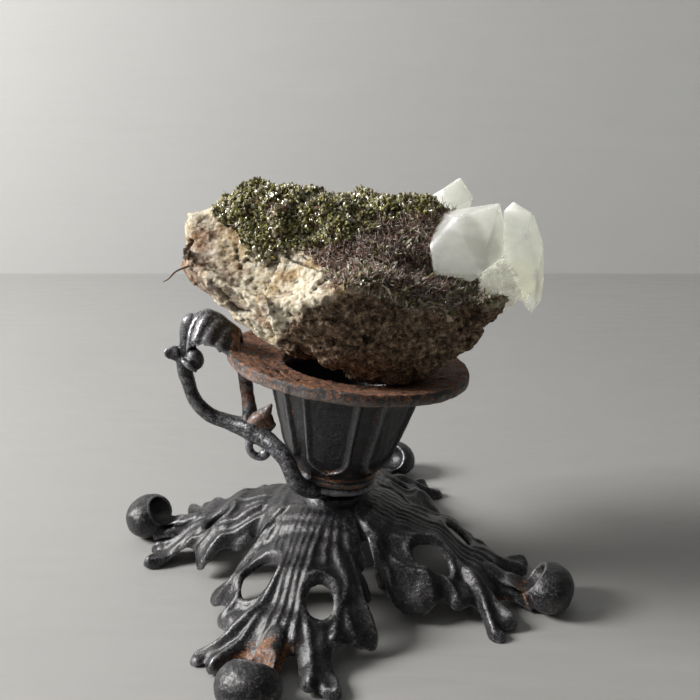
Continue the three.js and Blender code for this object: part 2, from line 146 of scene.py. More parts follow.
def spline(points, count, closed=False):
    """Catmull-Rom curve through points, resampled to count points at even spacing."""
    p = np.asarray(points, float)
    if closed:
        p = np.vstack([p[-1], p, p[:2]])
    else:
        p = np.vstack([2 * p[0] - p[1], p, 2 * p[-1] - p[-2]])
    fine = []
    steps = 24
    for i in range(1, len(p) - 2):
        for k in range(steps):
            s = k / steps
            a, b, c, d = p[i - 1 : i + 3]
            fine.append(0.5 * (2 * b + (c - a) * s + (2 * a - 5 * b + 4 * c - d) * s * s
                               + (3 * b - a - 3 * c + d) * s ** 3))
    fine.append(p[-2])
    fine = np.array(fine)
    run = np.r_[0, np.cumsum(np.linalg.norm(np.diff(fine, axis=0), axis=1))]
    at = np.linspace(0, run[-1], count + 1)[:-1] if closed else np.linspace(0, run[-1], count)
    return np.stack([np.interp(at, run, fine[:, k]) for k in range(p.shape[1])], 1)


def loft(rings):
    """Closed skin through rings of points, all with the same number of points."""
    sides = len(rings[0])
    points = [p for ring in rings for p in ring]
    faces = []
    for i in range(len(rings) - 1):
        for j in range(sides):
            k = (j + 1) % sides
            faces.append((i * sides + j, i * sides + k, (i + 1) * sides + k, (i + 1) * sides + j))
    last = (len(rings) - 1) * sides
    faces.append(tuple(reversed(range(sides))))
    faces.append(tuple(range(last, last + sides)))
    return np.array(points, float), faces


def tube(path, radii, sides=12, flatten=1.0):
    """Round bar with rounded ends along path; radii are spread evenly over its length."""
    path = np.asarray(path, float)
    count = len(path)
    radius = np.interp(np.linspace(0, 1, count), np.linspace(0, 1, len(radii)), radii)
    tangent = np.gradient(path, axis=0)
    tangent /= np.linalg.norm(tangent, axis=1)[:, None]
    side = np.cross(tangent[0], [0, 0, 1.0])
    if np.linalg.norm(side) < 0.1:
        side = np.cross(tangent[0], [0, 1.0, 0])
    rings = []
    for p, t, r in zip(path, tangent, radius):
        side = side - t * (side @ t)
        side /= np.linalg.norm(side)
        up = np.cross(side, t)
        turn = np.linspace(0, 2 * math.pi, sides, endpoint=False)
        ring = np.outer(np.cos(turn), side) + flatten * np.outer(np.sin(turn), up)
        rings.append((p, t, r, ring))
    skin = []
    for k, (shift, scale) in enumerate([(-0.9, 0.35), (-0.6, 0.75)]):
        p, t, r, ring = rings[0]
        skin.append(p + t * r * shift + ring * r * scale)
    skin += [p + ring * r for p, t, r, ring in rings]
    for shift, scale in [(0.6, 0.75), (0.9, 0.35)]:
        p, t, r, ring = rings[-1]
        skin.append(p + t * r * shift + ring * r * scale)
    return loft(skin)


def ellipsoid(centre, half_axes, sides=28):
    rings = []
    for i in range(1, sides // 2):
        polar = math.pi * i / (sides // 2)
        turn = np.linspace(0, 2 * math.pi, sides, endpoint=False)
        ring = np.stack([np.cos(turn) * math.sin(polar), np.sin(turn) * math.sin(polar),
                         np.full(sides, -math.cos(polar))], 1)
        rings.append(ring * half_axes + centre)
    return loft(rings)


def turned(profile, sides):
    """Closed lathe about Z from a loop of [radius, z] pairs that never touches the axis."""
    turn = np.linspace(0, 2 * math.pi, sides, endpoint=False)
    points, faces = [], []
    for angle in turn:
        points += [(r * math.cos(angle), r * math.sin(angle), z) for r, z in profile]
    n = len(profile)
    for j in range(sides):
        k = (j + 1) % sides
        for i in range(n):
            m = (i + 1) % n
            faces.append((j * n + i, k * n + i, k * n + m, j * n + m))
    return np.array(points, float), faces


def joined(parts):
    """Several (points, faces) pairs as one."""
    points, faces, start = [], [], 0
    for p, f in parts:
        points.append(p)
        faces += [tuple(start + i for i in face) for face in f]
        start += len(p)
    return np.vstack(points), faces


def modified(name, points, faces, kind, **settings):
    """Points and faces after one modifier, with the mesh's outward normals put right first."""
    thing = mesh_object(name, points, faces)
    bm = bmesh.new()
    bm.from_mesh(thing.data)
    bmesh.ops.recalc_face_normals(bm, faces=bm.faces)
    bm.to_mesh(thing.data)
    bm.free()
    modifier = thing.modifiers.new(kind, kind)
    for key, value in settings.items():
        setattr(modifier, key, value)
    depsgraph = bpy.context.evaluated_depsgraph_get()
    made = bpy.data.meshes.new_from_object(thing.evaluated_get(depsgraph))
    result = arrays(made)
    bpy.data.meshes.remove(made)
    bpy.data.objects.remove(thing)
    return result


def arrays(mesh):
    """A mesh's points in millimetres in the hub's frame, and its faces."""
    flat = np.zeros(len(mesh.vertices) * 3)
    mesh.vertices.foreach_get("co", flat)
    points = (flat.reshape(-1, 3) - HUB_AXIS) / MM
    return points, [tuple(p.vertices) for p in mesh.polygons]


def fused(parts, voxel):
    """One skin round overlapping closed parts."""
    points, faces = joined(parts)
    return modified("fusing", points, faces, "REMESH", mode="VOXEL", voxel_size=voxel * MM)


def cut(points, faces, cutter):
    """Points and faces less the closed cutter."""
    tool = mesh_object("cutter", *cutter)
    result = modified("cutting", points, faces, "BOOLEAN", operation="DIFFERENCE",
                      object=tool, solver="EXACT")
    bpy.data.objects.remove(tool)
    return result


class Skin:
    """Points and faces with the neighbour sums that smoothing, relief and wear need."""

    def __init__(self, points, faces):
        self.points = np.asarray(points, float)
        self.faces = faces
        pairs = {tuple(sorted((f[i], f[(i + 1) % len(f)]))) for f in faces for i in range(len(f))}
        self.edges = np.array(sorted(pairs))
        count = len(self.points)
        self.degree = np.bincount(self.edges.ravel(), minlength=count).clip(1)

    def mean(self, values):
        a, b = self.edges.T
        count = len(self.points)
        total = [np.bincount(a, values[b, k], count) + np.bincount(b, values[a, k], count)
                 for k in range(values.shape[1])]
        return np.stack(total, 1) / self.degree[:, None]

    def smooth(self, passes):
        for _ in range(passes):
            self.points += 0.5 * (self.mean(self.points) - self.points)
        return self

    def normals(self):
        mesh = bpy.data.meshes.new("normals")
        mesh.from_pydata(self.points.tolist(), [], self.faces)
        mesh.update()
        flat = np.zeros(len(self.points) * 3)
        mesh.vertex_normals.foreach_get("vector", flat)
        bpy.data.meshes.remove(mesh)
        return flat.reshape(-1, 3)

    def push(self, heights):
        self.points += self.normals() * np.asarray(heights)[:, None]
        return self

    def ridges(self, passes):
        """How far each point stands out of the smoothed skin: above 0 on ridges."""
        flat = self.points
        for _ in range(passes):
            flat = self.mean(flat)
        return ((self.points - flat) * self.normals()).sum(1)

    def make(self, name, smooth=True, **masks):
        thing = mesh_object(name, self.points, self.faces, smooth)
        for key, values in masks.items():
            layer = thing.data.attributes.new(key, "FLOAT", "POINT")
            layer.data.foreach_set("value", np.clip(values, 0, 1).astype(np.float32))
        return thing


def fractal(points, size, octaves=3, seed=0, rough=0.7):
    """Fractal noise of about -1 to 1 at each point; size is its coarsest feature in mm."""
    shift = Vector((seed * 17.3 + 3.1, seed * 5.7, seed * 11.9))
    scaled = np.asarray(points, float) / size
    return np.array([noise.fractal(Vector(p) + shift, rough, 2.1, octaves) for p in scaled])


def ridged(points, size, octaves=4, seed=0):
    """Sharp-crested noise of about 0 to 2."""
    shift = Vector((seed * 13.3, seed * 7.7, seed * 3.9))
    scaled = np.asarray(points, float) / size
    return np.array([noise.ridged_multi_fractal(Vector(p) + shift, 0.9, 2.2, octaves, 1.0, 1.6)
                     for p in scaled])


def blocky(points, size, seed=0):
    """Broken-stone relief of about -1 to 1: every cell is a flat facet with its own tilt and height."""
    shift = Vector((seed * 7.3, seed * 3.1, seed * 9.7))
    heights = []
    for p in np.asarray(points, float) / size:
        here = Vector(p) + shift
        centre = noise.voronoi(here)[1][0]
        tilt = Vector([noise.noise(centre * 2.3 + Vector((0, 0, 7.7 * k))) for k in (1, 2, 3)])
        heights.append(1.1 * noise.noise(centre * 3.7) + 1.5 * (here - centre).dot(tilt))
    return np.array(heights)


def step(low, high, values):
    """Smooth rise from 0 at low to 1 at high; falls if low is above high."""
    share = np.clip((values - low) / (high - low), 0, 1)
    return share * share * (3 - 2 * share)


def place_piece(thing, body, slot, material, *nodes):
    thing.data.materials.clear()
    thing.data.materials.append(material)
    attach(thing, body)
    if nodes:
        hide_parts(*nodes)


def cast_piece(skin, name, slot, material, nodes, passes, ridge, groove, rust, rub=0.0):
    """A piece of the iron stand, with masks for its rubbed ridges, dark grooves and rust."""
    stand_out = skin.ridges(passes)
    thing = skin.make(name, ridge=stand_out * ridge + rub, groove=-stand_out * groove, rust=rust)
    place_piece(thing, "chamberstick", slot, material, *nodes)


# ------------------------------------------------------------------ materials
class Shade:
    """One node material.  Sizes are in millimetres in the frame, through object coordinates."""

    def __init__(self, name):
        self.material = bpy.data.materials.new(name)
        self.material.use_nodes = True
        self.tree = self.material.node_tree
        self.shader = self.tree.nodes["Principled BSDF"]
        self.place = self.node("ShaderNodeTexCoord").outputs["Object"]

    def node(self, kind, **settings):
        node = self.tree.nodes.new(kind)
        for key, value in settings.items():
            setattr(node, key, value)
        return node

    def put(self, socket, value):
        if isinstance(value, bpy.types.NodeSocket):
            self.tree.links.new(value, socket)
        else:
            socket.default_value = value

    def noise(self, size, detail=4, rough=0.6, distort=0.0, stretch=None):
        node = self.node("ShaderNodeTexNoise")
        where = self.place
        if stretch:
            mapping = self.node("ShaderNodeMapping")
            mapping.inputs["Scale"].default_value = stretch
            self.put(mapping.inputs["Vector"], where)
            where = mapping.outputs["Vector"]
        self.put(node.inputs["Vector"], where)
        node.inputs["Scale"].default_value = 1 / (size * MM)
        node.inputs["Detail"].default_value = detail
        node.inputs["Roughness"].default_value = rough
        node.inputs["Distortion"].default_value = distort
        return node.outputs["Fac"]

    def cells(self, size):
        node = self.node("ShaderNodeTexVoronoi")
        self.put(node.inputs["Vector"], self.place)
        node.inputs["Scale"].default_value = 1 / (size * MM)
        return node.outputs["Distance"]

    def mask(self, name):
        return self.node("ShaderNodeAttribute", attribute_name=name).outputs["Fac"]

    def span(self, value, low, high, to_low=0.0, to_high=1.0):
        node = self.node("ShaderNodeMapRange", interpolation_type="SMOOTHSTEP")
        self.put(node.inputs["Value"], value)
        for key, number in zip(("From Min", "From Max", "To Min", "To Max"),
                               (low, high, to_low, to_high)):
            node.inputs[key].default_value = number
        return node.outputs["Result"]

    def math(self, operation, a, b=0.5, clamp=False):
        node = self.node("ShaderNodeMath", operation=operation, use_clamp=clamp)
        self.put(node.inputs[0], a)
        self.put(node.inputs[1], b)
        return node.outputs[0]

    def plus(self, a, b, clamp=False):
        return self.math("ADD", a, b, clamp)

    def times(self, a, b, clamp=False):
        return self.math("MULTIPLY", a, b, clamp)

    def ramp(self, value, *stops):
        node = self.node("ShaderNodeValToRGB")
        self.put(node.inputs["Fac"], value)
        elements = node.color_ramp.elements
        while len(elements) < len(stops):
            elements.new(0.5)
        for element, (at, colour) in zip(elements, stops):
            element.position = at
            element.color = (*colour, 1)
        return node.outputs["Color"]

    def mix(self, share, a, b):
        node = self.node("ShaderNodeMix", data_type="RGBA")
        self.put(node.inputs[0], share)
        self.put(node.inputs[6], a if isinstance(a, bpy.types.NodeSocket) else (*a, 1))
        self.put(node.inputs[7], b if isinstance(b, bpy.types.NodeSocket) else (*b, 1))
        return node.outputs[2]

    def bump(self, height, depth, below=None):
        node = self.node("ShaderNodeBump")
        node.inputs["Distance"].default_value = depth * MM
        self.put(node.inputs["Height"], height)
        if below is not None:
            self.put(node.inputs["Normal"], below)
        return node.outputs["Normal"]

    def done(self, **sockets):
        for key, value in sockets.items():
            self.put(self.shader.inputs[key.replace("_", " ")], value)
        return self.material


def iron_material(name, rust=0.25, wear=0.6, dust=0.2):
    """Worn black paint over sand-cast iron: rust breaks through and the high edges shine."""
    s = Shade(name)
    blotch = s.noise(3.2, 6, 0.68, 0.4)
    grain = s.noise(0.5, 5, 0.7)
    speck = s.noise(0.2, 3, 0.6)
    edge = s.mask("ridge")
    groove = s.mask("groove")
    rusty = s.mask("rust")
    rubbed = s.plus(edge, s.times(grain, 0.9))
    rubbed = s.plus(rubbed, s.times(blotch, 0.35))
    worn = s.times(s.span(rubbed, 0.69, 1.06), wear, clamp=True)
    rust_here = s.plus(rusty, s.times(groove, 0.25))
    rust_here = s.plus(rust_here, s.times(blotch, 0.6))
    rust_here = s.plus(rust_here, s.times(s.noise(1.3, 5, 0.7), 0.8))
    rust_here = s.span(rust_here, 1.34 - rust * 0.6, 1.6 - rust * 0.6)
    rust_here = s.times(rust_here, s.span(grain, 0.42, 0.55, 0.1, 1.0))
    paint = s.ramp(grain, (0.35, (0.003, 0.003, 0.004)), (0.52, (0.009, 0.009, 0.011)),
                   (0.7, (0.05, 0.05, 0.057)))
    dusty = s.times(s.span(blotch, 0.42, 0.68), dust)
    paint = s.mix(dusty, paint, (0.11, 0.095, 0.082))
    metal = s.ramp(speck, (0.3, (0.12, 0.12, 0.132)), (0.7, (0.6, 0.6, 0.64)))
    oxide = s.ramp(s.noise(0.8, 5, 0.7), (0.3, (0.045, 0.016, 0.008)), (0.5, (0.2, 0.08, 0.032)),
                   (0.75, (0.56, 0.3, 0.14)))
    colour = s.mix(worn, paint, metal)
    colour = s.mix(rust_here, colour, oxide)
    shine = s.span(s.plus(grain, s.times(blotch, 0.4)), 0.45, 0.95, 0.27, 0.42)
    rough = s.plus(shine, s.times(rust_here, 0.4), clamp=True)
    bare = s.math("SUBTRACT", worn, rust_here, clamp=True)
    pits = s.bump(s.cells(0.7), 0.03)
    skin = s.bump(blotch, 0.18, s.bump(grain, 0.075, s.bump(speck, 0.02, pits)))
    return s.done(Base_Color=colour, Roughness=rough, Metallic=bare, Normal=skin)


def rusted_material(name, paint_left=0.5):
    """Orange-brown rust with scraps of black paint and bare metal left on it."""
    s = Shade(name)
    blotch = s.noise(4.5, 6, 0.7, 0.6)
    grain = s.noise(0.6, 6, 0.72)
    speck = s.noise(0.25, 3, 0.6)
    edge = s.mask("ridge")
    painted = s.mask("paint")
    oxide = s.ramp(grain, (0.3, (0.02, 0.01, 0.007)), (0.45, (0.12, 0.052, 0.03)),
                   (0.57, (0.3, 0.14, 0.075)), (0.72, (0.6, 0.38, 0.25)))
    bright = s.ramp(s.noise(1.3, 6, 0.7), (0.3, (0.16, 0.055, 0.018)), (0.7, (0.42, 0.19, 0.07)))
    oxide = s.mix(s.span(blotch, 0.45, 0.68, 0.0, 0.7), oxide, bright)
    black = s.ramp(speck, (0.2, (0.012, 0.012, 0.013)), (0.8, (0.07, 0.068, 0.07)))
    scraps = s.plus(s.times(painted, 0.3), s.noise(2.2, 7, 0.78, 0.5))
    scraps = s.span(scraps, 0.77 - paint_left * 0.5, 0.82 - paint_left * 0.5)
    metal = s.span(s.plus(edge, s.times(grain, 0.6)), 0.8, 1.15, 0.0, 0.45)
    colour = s.mix(scraps, oxide, black)
    colour = s.mix(metal, colour, (0.36, 0.31, 0.29))
    rough = s.span(s.math("SUBTRACT", grain, s.times(scraps, 0.35)), 0.0, 0.7, 0.45, 0.92)
    bare = s.plus(s.times(metal, 0.6), s.times(scraps, 0.3), clamp=True)
    skin = s.bump(blotch, 0.2, s.bump(grain, 0.14, s.bump(speck, 0.07)))
    return s.done(Base_Color=colour, Roughness=rough, Metallic=bare, Normal=skin)


def steel_material():
    """Dull steel with scratches along Z and patches of thin rust."""
    s = Shade("plain_steel")
    blotch = s.noise(1.8, 6, 0.7)
    scratch = s.noise(0.5, 4, 0.6, stretch=(1, 1, 12))
    rust = s.span(blotch, 0.52, 0.68)
    colour = s.mix(rust, (0.34, 0.33, 0.32), (0.2, 0.09, 0.045))
    rough = s.span(s.plus(scratch, s.times(rust, 0.4)), 0.3, 1.0, 0.32, 0.85)
    bare = s.math("SUBTRACT", 1.0, rust, clamp=True)
    return s.done(Base_Color=colour, Roughness=rough, Metallic=bare,
                  Normal=s.bump(blotch, 0.06, s.bump(scratch, 0.03)))


def rock_material():
    """Granular matrix: cream and ochre on the lit left; dark brown and crystalline below, where the dark
    brown is partly browner stone and partly painted shade on the underside.
    """
    s = Shade("matrix_rock")
    broad = s.noise(9, 5, 0.6, 0.5)
    grain = s.noise(1.5, 8, 0.8)
    fine = s.noise(0.4, 4, 0.75)
    cells = s.cells(1.1)
    dark = s.mask("dark")
    iron = s.mask("iron")
    groove = s.mask("groove")
    cream = s.ramp(grain, (0.27, (0.12, 0.08, 0.045)), (0.38, (0.5, 0.39, 0.25)),
                   (0.47, (0.86, 0.75, 0.54)), (0.6, (0.97, 0.93, 0.8)))
    ochre = s.ramp(grain, (0.3, (0.1, 0.05, 0.02)), (0.5, (0.48, 0.31, 0.12)),
                   (0.7, (0.82, 0.66, 0.36)))
    light = s.mix(s.span(broad, 0.5, 0.64, 0.0, 0.85), cream, ochre)
    russet = s.ramp(fine, (0.25, (0.1, 0.035, 0.02)), (0.75, (0.42, 0.2, 0.11)))
    light = s.mix(s.times(iron, s.span(grain, 0.3, 0.7, 1.0, 0.35)), light, russet)
    brown = s.ramp(grain, (0.32, (0.012, 0.008, 0.006)), (0.45, (0.1, 0.06, 0.036)),
                   (0.54, (0.34, 0.22, 0.13)), (0.64, (0.8, 0.65, 0.46)))
    # The dark mask brings in the dark brown: browner stone, and below the crest partly painted shade.
    colour = s.mix(dark, light, brown)
    # Painted shade: creases and hollows in the skin are darkened towards near-black brown.
    colour = s.mix(s.span(groove, 0.15, 0.9, 0.0, 0.8), colour, (0.045, 0.026, 0.016))
    glint = s.span(fine, 0.6, 0.66)
    colour = s.mix(s.times(glint, 0.55), colour, (0.92, 0.88, 0.78))
    rough = s.span(glint, 0.0, 1.0, 0.9, 0.35)
    skin = s.bump(grain, 0.75, s.bump(cells, 0.4, s.bump(fine, 0.22)))
    return s.done(Base_Color=colour, Roughness=rough, Normal=skin)


def druse_material():
    """Olive green to grey blades, glossy on their faces."""
    s = Shade("green_druse")
    patch = s.noise(7, 4, 0.6)
    each = s.noise(0.9, 2, 0.5)
    fine = s.noise(0.3, 3, 0.6)
    tint = s.mask("tint")
    olive = s.ramp(each, (0.3, (0.016, 0.017, 0.005)), (0.48, (0.12, 0.112, 0.028)),
                   (0.68, (0.46, 0.42, 0.16)))
    grey = s.ramp(each, (0.28, (0.16, 0.14, 0.1)), (0.7, (0.68, 0.65, 0.52)))
    pale = s.plus(s.times(tint, 0.75), s.times(patch, 0.5))
    colour = s.mix(s.span(pale, 0.55, 0.95), olive, grey)
    rough = s.span(fine, 0.3, 0.7, 0.12, 0.42)
    return s.done(Base_Color=colour, Roughness=rough, Coat_Weight=0.5, Coat_Roughness=0.1,
                  Normal=s.bump(fine, 0.03))


def fibre_material():
    """Matt brown fibres, some of them silvery."""
    s = Shade("brown_fibre")
    each = s.noise(1.2, 3, 0.6)
    fine = s.noise(0.25, 3, 0.7)
    tint = s.mask("tint")
    brown = s.ramp(each, (0.25, (0.05, 0.02, 0.014)), (0.5, (0.17, 0.088, 0.064)),
                   (0.75, (0.38, 0.24, 0.19)))
    silver = s.ramp(fine, (0.3, (0.26, 0.22, 0.2)), (0.7, (0.72, 0.66, 0.6)))
    colour = s.mix(s.span(tint, 0.45, 0.8), brown, silver)
    rough = s.span(fine, 0.3, 0.7, 0.5, 0.85)
    return s.done(Base_Color=colour, Roughness=rough, Normal=s.bump(fine, 0.03))


def quartz_material(name, milk=0.5, yellow=0.0):
    """Milky quartz: cloudy veils inside, frosted white arrises, faint growth lines, and a faint painted glow
    that stands in for light carried through the crystals.
    """
    s = Shade(name)
    veil = s.noise(9, 3, 0.5, 0.3, stretch=(1.0, 1.0, 1.5))
    wisp = s.noise(1.6, 4, 0.6)
    lines = s.noise(0.8, 3, 0.5, 0.2, stretch=(0.2, 0.2, 3.0))
    bubbles = s.span(s.cells(1.7), 0.13, 0.05)
    edge = s.mask("ridge")
    low = s.mask("low")
    cloud = s.span(veil, 0.35, 0.65)
    white = s.plus(s.times(cloud, milk), s.times(edge, 0.9), clamp=True)
    white = s.plus(white, s.times(bubbles, 0.25), clamp=True)
    tinted = s.times(low, yellow, clamp=True)
    body = s.mix(tinted, (0.9, 0.92, 0.84), (0.94, 0.89, 0.62))
    colour = s.mix(white, body, (0.97, 0.98, 0.95))
    through = s.span(white, 0.0, 1.0, 0.62, 0.1)
    rough = s.span(s.plus(wisp, edge), 0.4, 1.3, 0.14, 0.45)
    skin = s.bump(lines, 0.05, s.bump(wisp, 0.04))
    # The emission is a painted glow: it stands in for light passing through the crystals onto their shaded
    # sides.
    return s.done(Base_Color=colour, Transmission_Weight=through, Roughness=rough, Normal=skin, IOR=1.54,
                  Subsurface_Weight=1.0, Subsurface_Radius=(1.0, 1.0, 0.92), Subsurface_Scale=12 * MM,
                  Emission_Color=(0.95, 0.97, 0.84, 1), Emission_Strength=0.16)


def sugar_material():
    """Pale broken quartz, stained brown where it meets the rock, with a faint painted glow that stands in
    for light passing in from the crystals.
    """
    s = Shade("sugary_quartz")
    grain = s.noise(0.8, 5, 0.7)
    fine = s.noise(0.25, 3, 0.6)
    stain = s.mask("stain")
    pale = s.ramp(grain, (0.3, (0.62, 0.58, 0.45)), (0.45, (0.86, 0.85, 0.76)), (0.7, (0.97, 0.97, 0.93)))
    colour = s.mix(s.times(stain, s.span(grain, 0.3, 0.65, 1.0, 0.3)), pale, (0.35, 0.22, 0.09))
    # The emission is a painted glow that stands in for light passing in from the crystals.
    return s.done(Base_Color=colour, Roughness=s.span(fine, 0.3, 0.7, 0.25, 0.6),
                  Normal=s.bump(grain, 0.2, s.bump(fine, 0.1)),
                  Subsurface_Weight=0.6, Subsurface_Radius=(1.0, 0.97, 0.85), Subsurface_Scale=5 * MM,
                  Emission_Color=(0.94, 0.95, 0.84, 1), Emission_Strength=0.14)


def stage_material(name, low, high):
    """Flat paint with faint brush marks that run from side to side."""
    s = Shade(name)
    broad = s.noise(120, 4, 0.6)
    fine = s.noise(4, 6, 0.7, stretch=(0.12, 1, 1))
    colour = s.mix(s.times(s.plus(broad, fine), 0.5), low, high)
    return s.done(Base_Color=colour, Roughness=s.span(fine, 0.3, 0.7, 0.5, 0.75),
                  Normal=s.bump(fine, 0.14))


def make_stage():
    """A painted table top and a plain wall behind it."""
    wall_at, top, reach = 326.0, 1500.0, 2600.0
    floor = mesh_object("floor", [(-reach, -reach, 0), (reach, -reach, 0), (reach, wall_at, 0),
                                  (-reach, wall_at, 0)], [(0, 1, 2, 3)])
    floor.data.materials.append(
        stage_material("pale_floor", (0.275, 0.271, 0.263), (0.345, 0.341, 0.332)))
    wall = mesh_object("backdrop", [(-reach, wall_at, -1), (reach, wall_at, -1), (reach, wall_at, top),
                                    (-reach, wall_at, top)], [(0, 1, 2, 3)])
    wall.data.materials.append(stage_material("pale_wall", (0.45, 0.45, 0.442), (0.49, 0.49, 0.48)))


# ------------------------------------------------------------------ base casting
LEAF_AZIMUTHS = {"left": 161.7, "front": 251.7, "right": 341.7, "back": 71.7}
HUB_RADIUS = 18.0
HUB_TOP = 26.0
HUB_EDGE = 21.5
CASTING = 2.2
VOXEL = 0.36

LEAF_SPINE = [[7, 26.4], [12, 24.5], [15, 23.1], [19, 21.4], [28, 18.6], [39, 11.4], [50, 5.2], [58, 3.4],
              [64, 3.2]]
LEAF_DROOP = [[8, 0.02], [14, 0.016], [19, 0.03], [31, 0.0205], [42, 0.0165], [52, 0.0065], [60, 0.004]]
# The lobed edge on each side of a leaf, from the hub out to the toe, as [r, distance from its middle].
LOBES_MINUS = [
    [13.6, 12.6], [15.6, 16.2], [17.4, 20.0], [19.6, 20.2], [22.4, 22.2], [26.2, 24.6], [30.4, 24.8],
    [32.6, 22.4], [33.6, 18.8], [35.0, 17.2], [37.4, 18.6], [39.8, 17.6], [41.6, 14.6], [43.4, 13.4],
    [45.2, 15.6], [47.6, 19.6], [50.6, 20.4], [52.0, 17.8], [50.2, 15.8], [52.6, 14.8], [54.0, 12.6],
    [52.4, 10.4], [49.4, 8.2], [47.6, 6.0], [50.4, 4.4], [54, 4.6], [57, 5.4],
]
LOBES_PLUS = [
    [13.2, 12.0], [15.3, 12.6], [17.0, 14.6], [19.0, 14.2], [21.2, 16.4], [23.8, 18.4], [25.6, 17.8],
    [28.2, 18.8], [30.4, 21.2], [32.8, 22.8], [34.8, 22.2], [36.2, 19.2], [37.8, 15.8], [40.2, 14.4],
    [43.0, 14.0], [45.4, 15.2], [47.2, 17.6], [50.0, 19.2], [52.6, 18.0], [52.4, 15.2], [51.0, 13.2],
    [53.0, 12.2], [52.6, 10.0], [50.2, 8.4], [47.2, 7.2], [45.2, 5.6], [46.2, 3.8], [48.8, 3.4],
    [52, 4.6], [57, 5.4],
]
LEAF_HOLES = [(33.4, 7.6, 3.7, 3.4), (29.8, -10.2, 5.2, 4.4)]
# How far a leaf's side reaches, as a share of the pattern's width: [distance from hub, share].
FULL_SIDE = [[0, 1.0], [64, 1.0]]
NARROW_SIDE = [[12, 1.0], [20, 0.86], [30, 0.77], [38, 0.82], [46, 0.96], [64, 1.0]]
# How rusty each leaf's end is.
TIP_RUST = {"left": 0.2, "front": 0.85, "right": 0.42, "back": 0.3}
LEAF_SIDES = {"left": (FULL_SIDE, NARROW_SIDE), "front": (FULL_SIDE, FULL_SIDE),
              "right": (NARROW_SIDE, FULL_SIDE), "back": (FULL_SIDE, FULL_SIDE)}

# Raised cords that fan out from the hub: radii along the cord, then its [r, t] points.
LEAF_CORDS = [
    ((0.7, 0.8, 1.0, 1.7, 1.5), [(9, -10.6), (14, -13.4), (17, -15.6), (19.4, -18.0), (21, -20.4)]),
    ((0.6, 0.7, 0.9, 1.3, 1.6, 1.0), [(8, -8.4), (13.5, -11.2), (19.7, -14.8), (25, -16.8), (30, -18),
                                      (32.2, -20.8), (32.8, -24.4)]),
    ((0.5, 0.6, 0.8, 0.6), [(8, -6.8), (14.9, -8.8), (20, -9.6), (24.4, -8.2), (27.6, -5.4)]),
    ((0.5, 0.6, 0.5), [(9, -5.8), (15, -7.4), (21, -7.6), (25.5, -5.8)]),
    ((0.7, 1.1, 1.5, 1.0), [(30, -15.2), (34.6, -14.4), (37.6, -16.2), (38.6, -19.6)]),
    ((0.5, 0.6, 0.7, 1.4, 1.9, 1.3), [(7.3, -5.0), (15.8, -5.9), (22.7, -4.9), (30.7, -4.5), (37.6, -6.8),
                                      (43, -10.4), (46.4, -15), (48.6, -19.4)]),
    ((0.6, 0.9, 1.5, 1.1), [(38, -5.2), (44.9, -7.8), (49, -10.9), (53.6, -13.4)]),
    ((0.5, 0.55, 0.6, 0.5), [(9, -3.6), (15.8, -4.1), (22.9, -3.4), (30.5, -2.7), (38.6, -3.0), (46, -3.4)]),
    ((0.5, 0.6, 0.6, 0.5), [(8.7, -1.9), (15.2, -2.2), (22.9, -1.7), (30.4, -1.0), (38, -0.8), (48, -0.8)]),
    ((0.5, 0.6, 0.6, 0.7), [(9.4, -0.3), (15.6, -0.3), (22.7, 0.0), (29.7, 0.7), (36, 1.3), (42, 1.8),
                            (50, 1.9)]),
    ((0.6, 0.75, 0.8, 0.9, 0.9), [(9.8, 1.6), (15.8, 1.6), (23.2, 2.0), (28, 2.6), (34.1, 3.0), (40, 4.0),
                                  (46, 5.0), (49.5, 5.2)]),
    ((0.6, 0.7, 0.9, 1.4, 1.0), [(33, 3.6), (37.5, 5.4), (42, 8.0), (47, 10.4), (53.6, 12.4)]),
    ((0.5, 0.6, 0.7), [(10, 3.4), (15.6, 3.9), (21.2, 5.0), (25, 6.0)]),
    ((0.6, 0.8, 1.4, 0.9, 1.0, 1.6, 1.5), [(9.8, 5.0), (15.6, 6.0), (21.2, 8.2), (26, 12), (30.4, 13.4),
                                          (35, 12.8), (39.5, 13.8), (44, 15.6), (50.6, 18.6)]),
    ((0.6, 0.7, 0.9, 1.5, 1.0), [(11.2, 7.0), (16, 9.0), (20.2, 11.8), (24.7, 15.2), (29, 18.4), (32, 21.6),
                                 (33.4, 24.2)]),
    ((0.5, 0.7, 1.1, 1.2), [(11, 9.0), (15, 12.6), (18, 15.8), (20.4, 18.4)]),
    ((0.8, 1.2, 0.9), [(33, 14.4), (36, 17), (37.4, 20.2)]),
]
# Points along each cord, hole ring and outline, close enough together that they leave no ripples.
CORD_SAMPLES = 260
RING_SAMPLES = 240
OUTLINE_SAMPLES = 1500


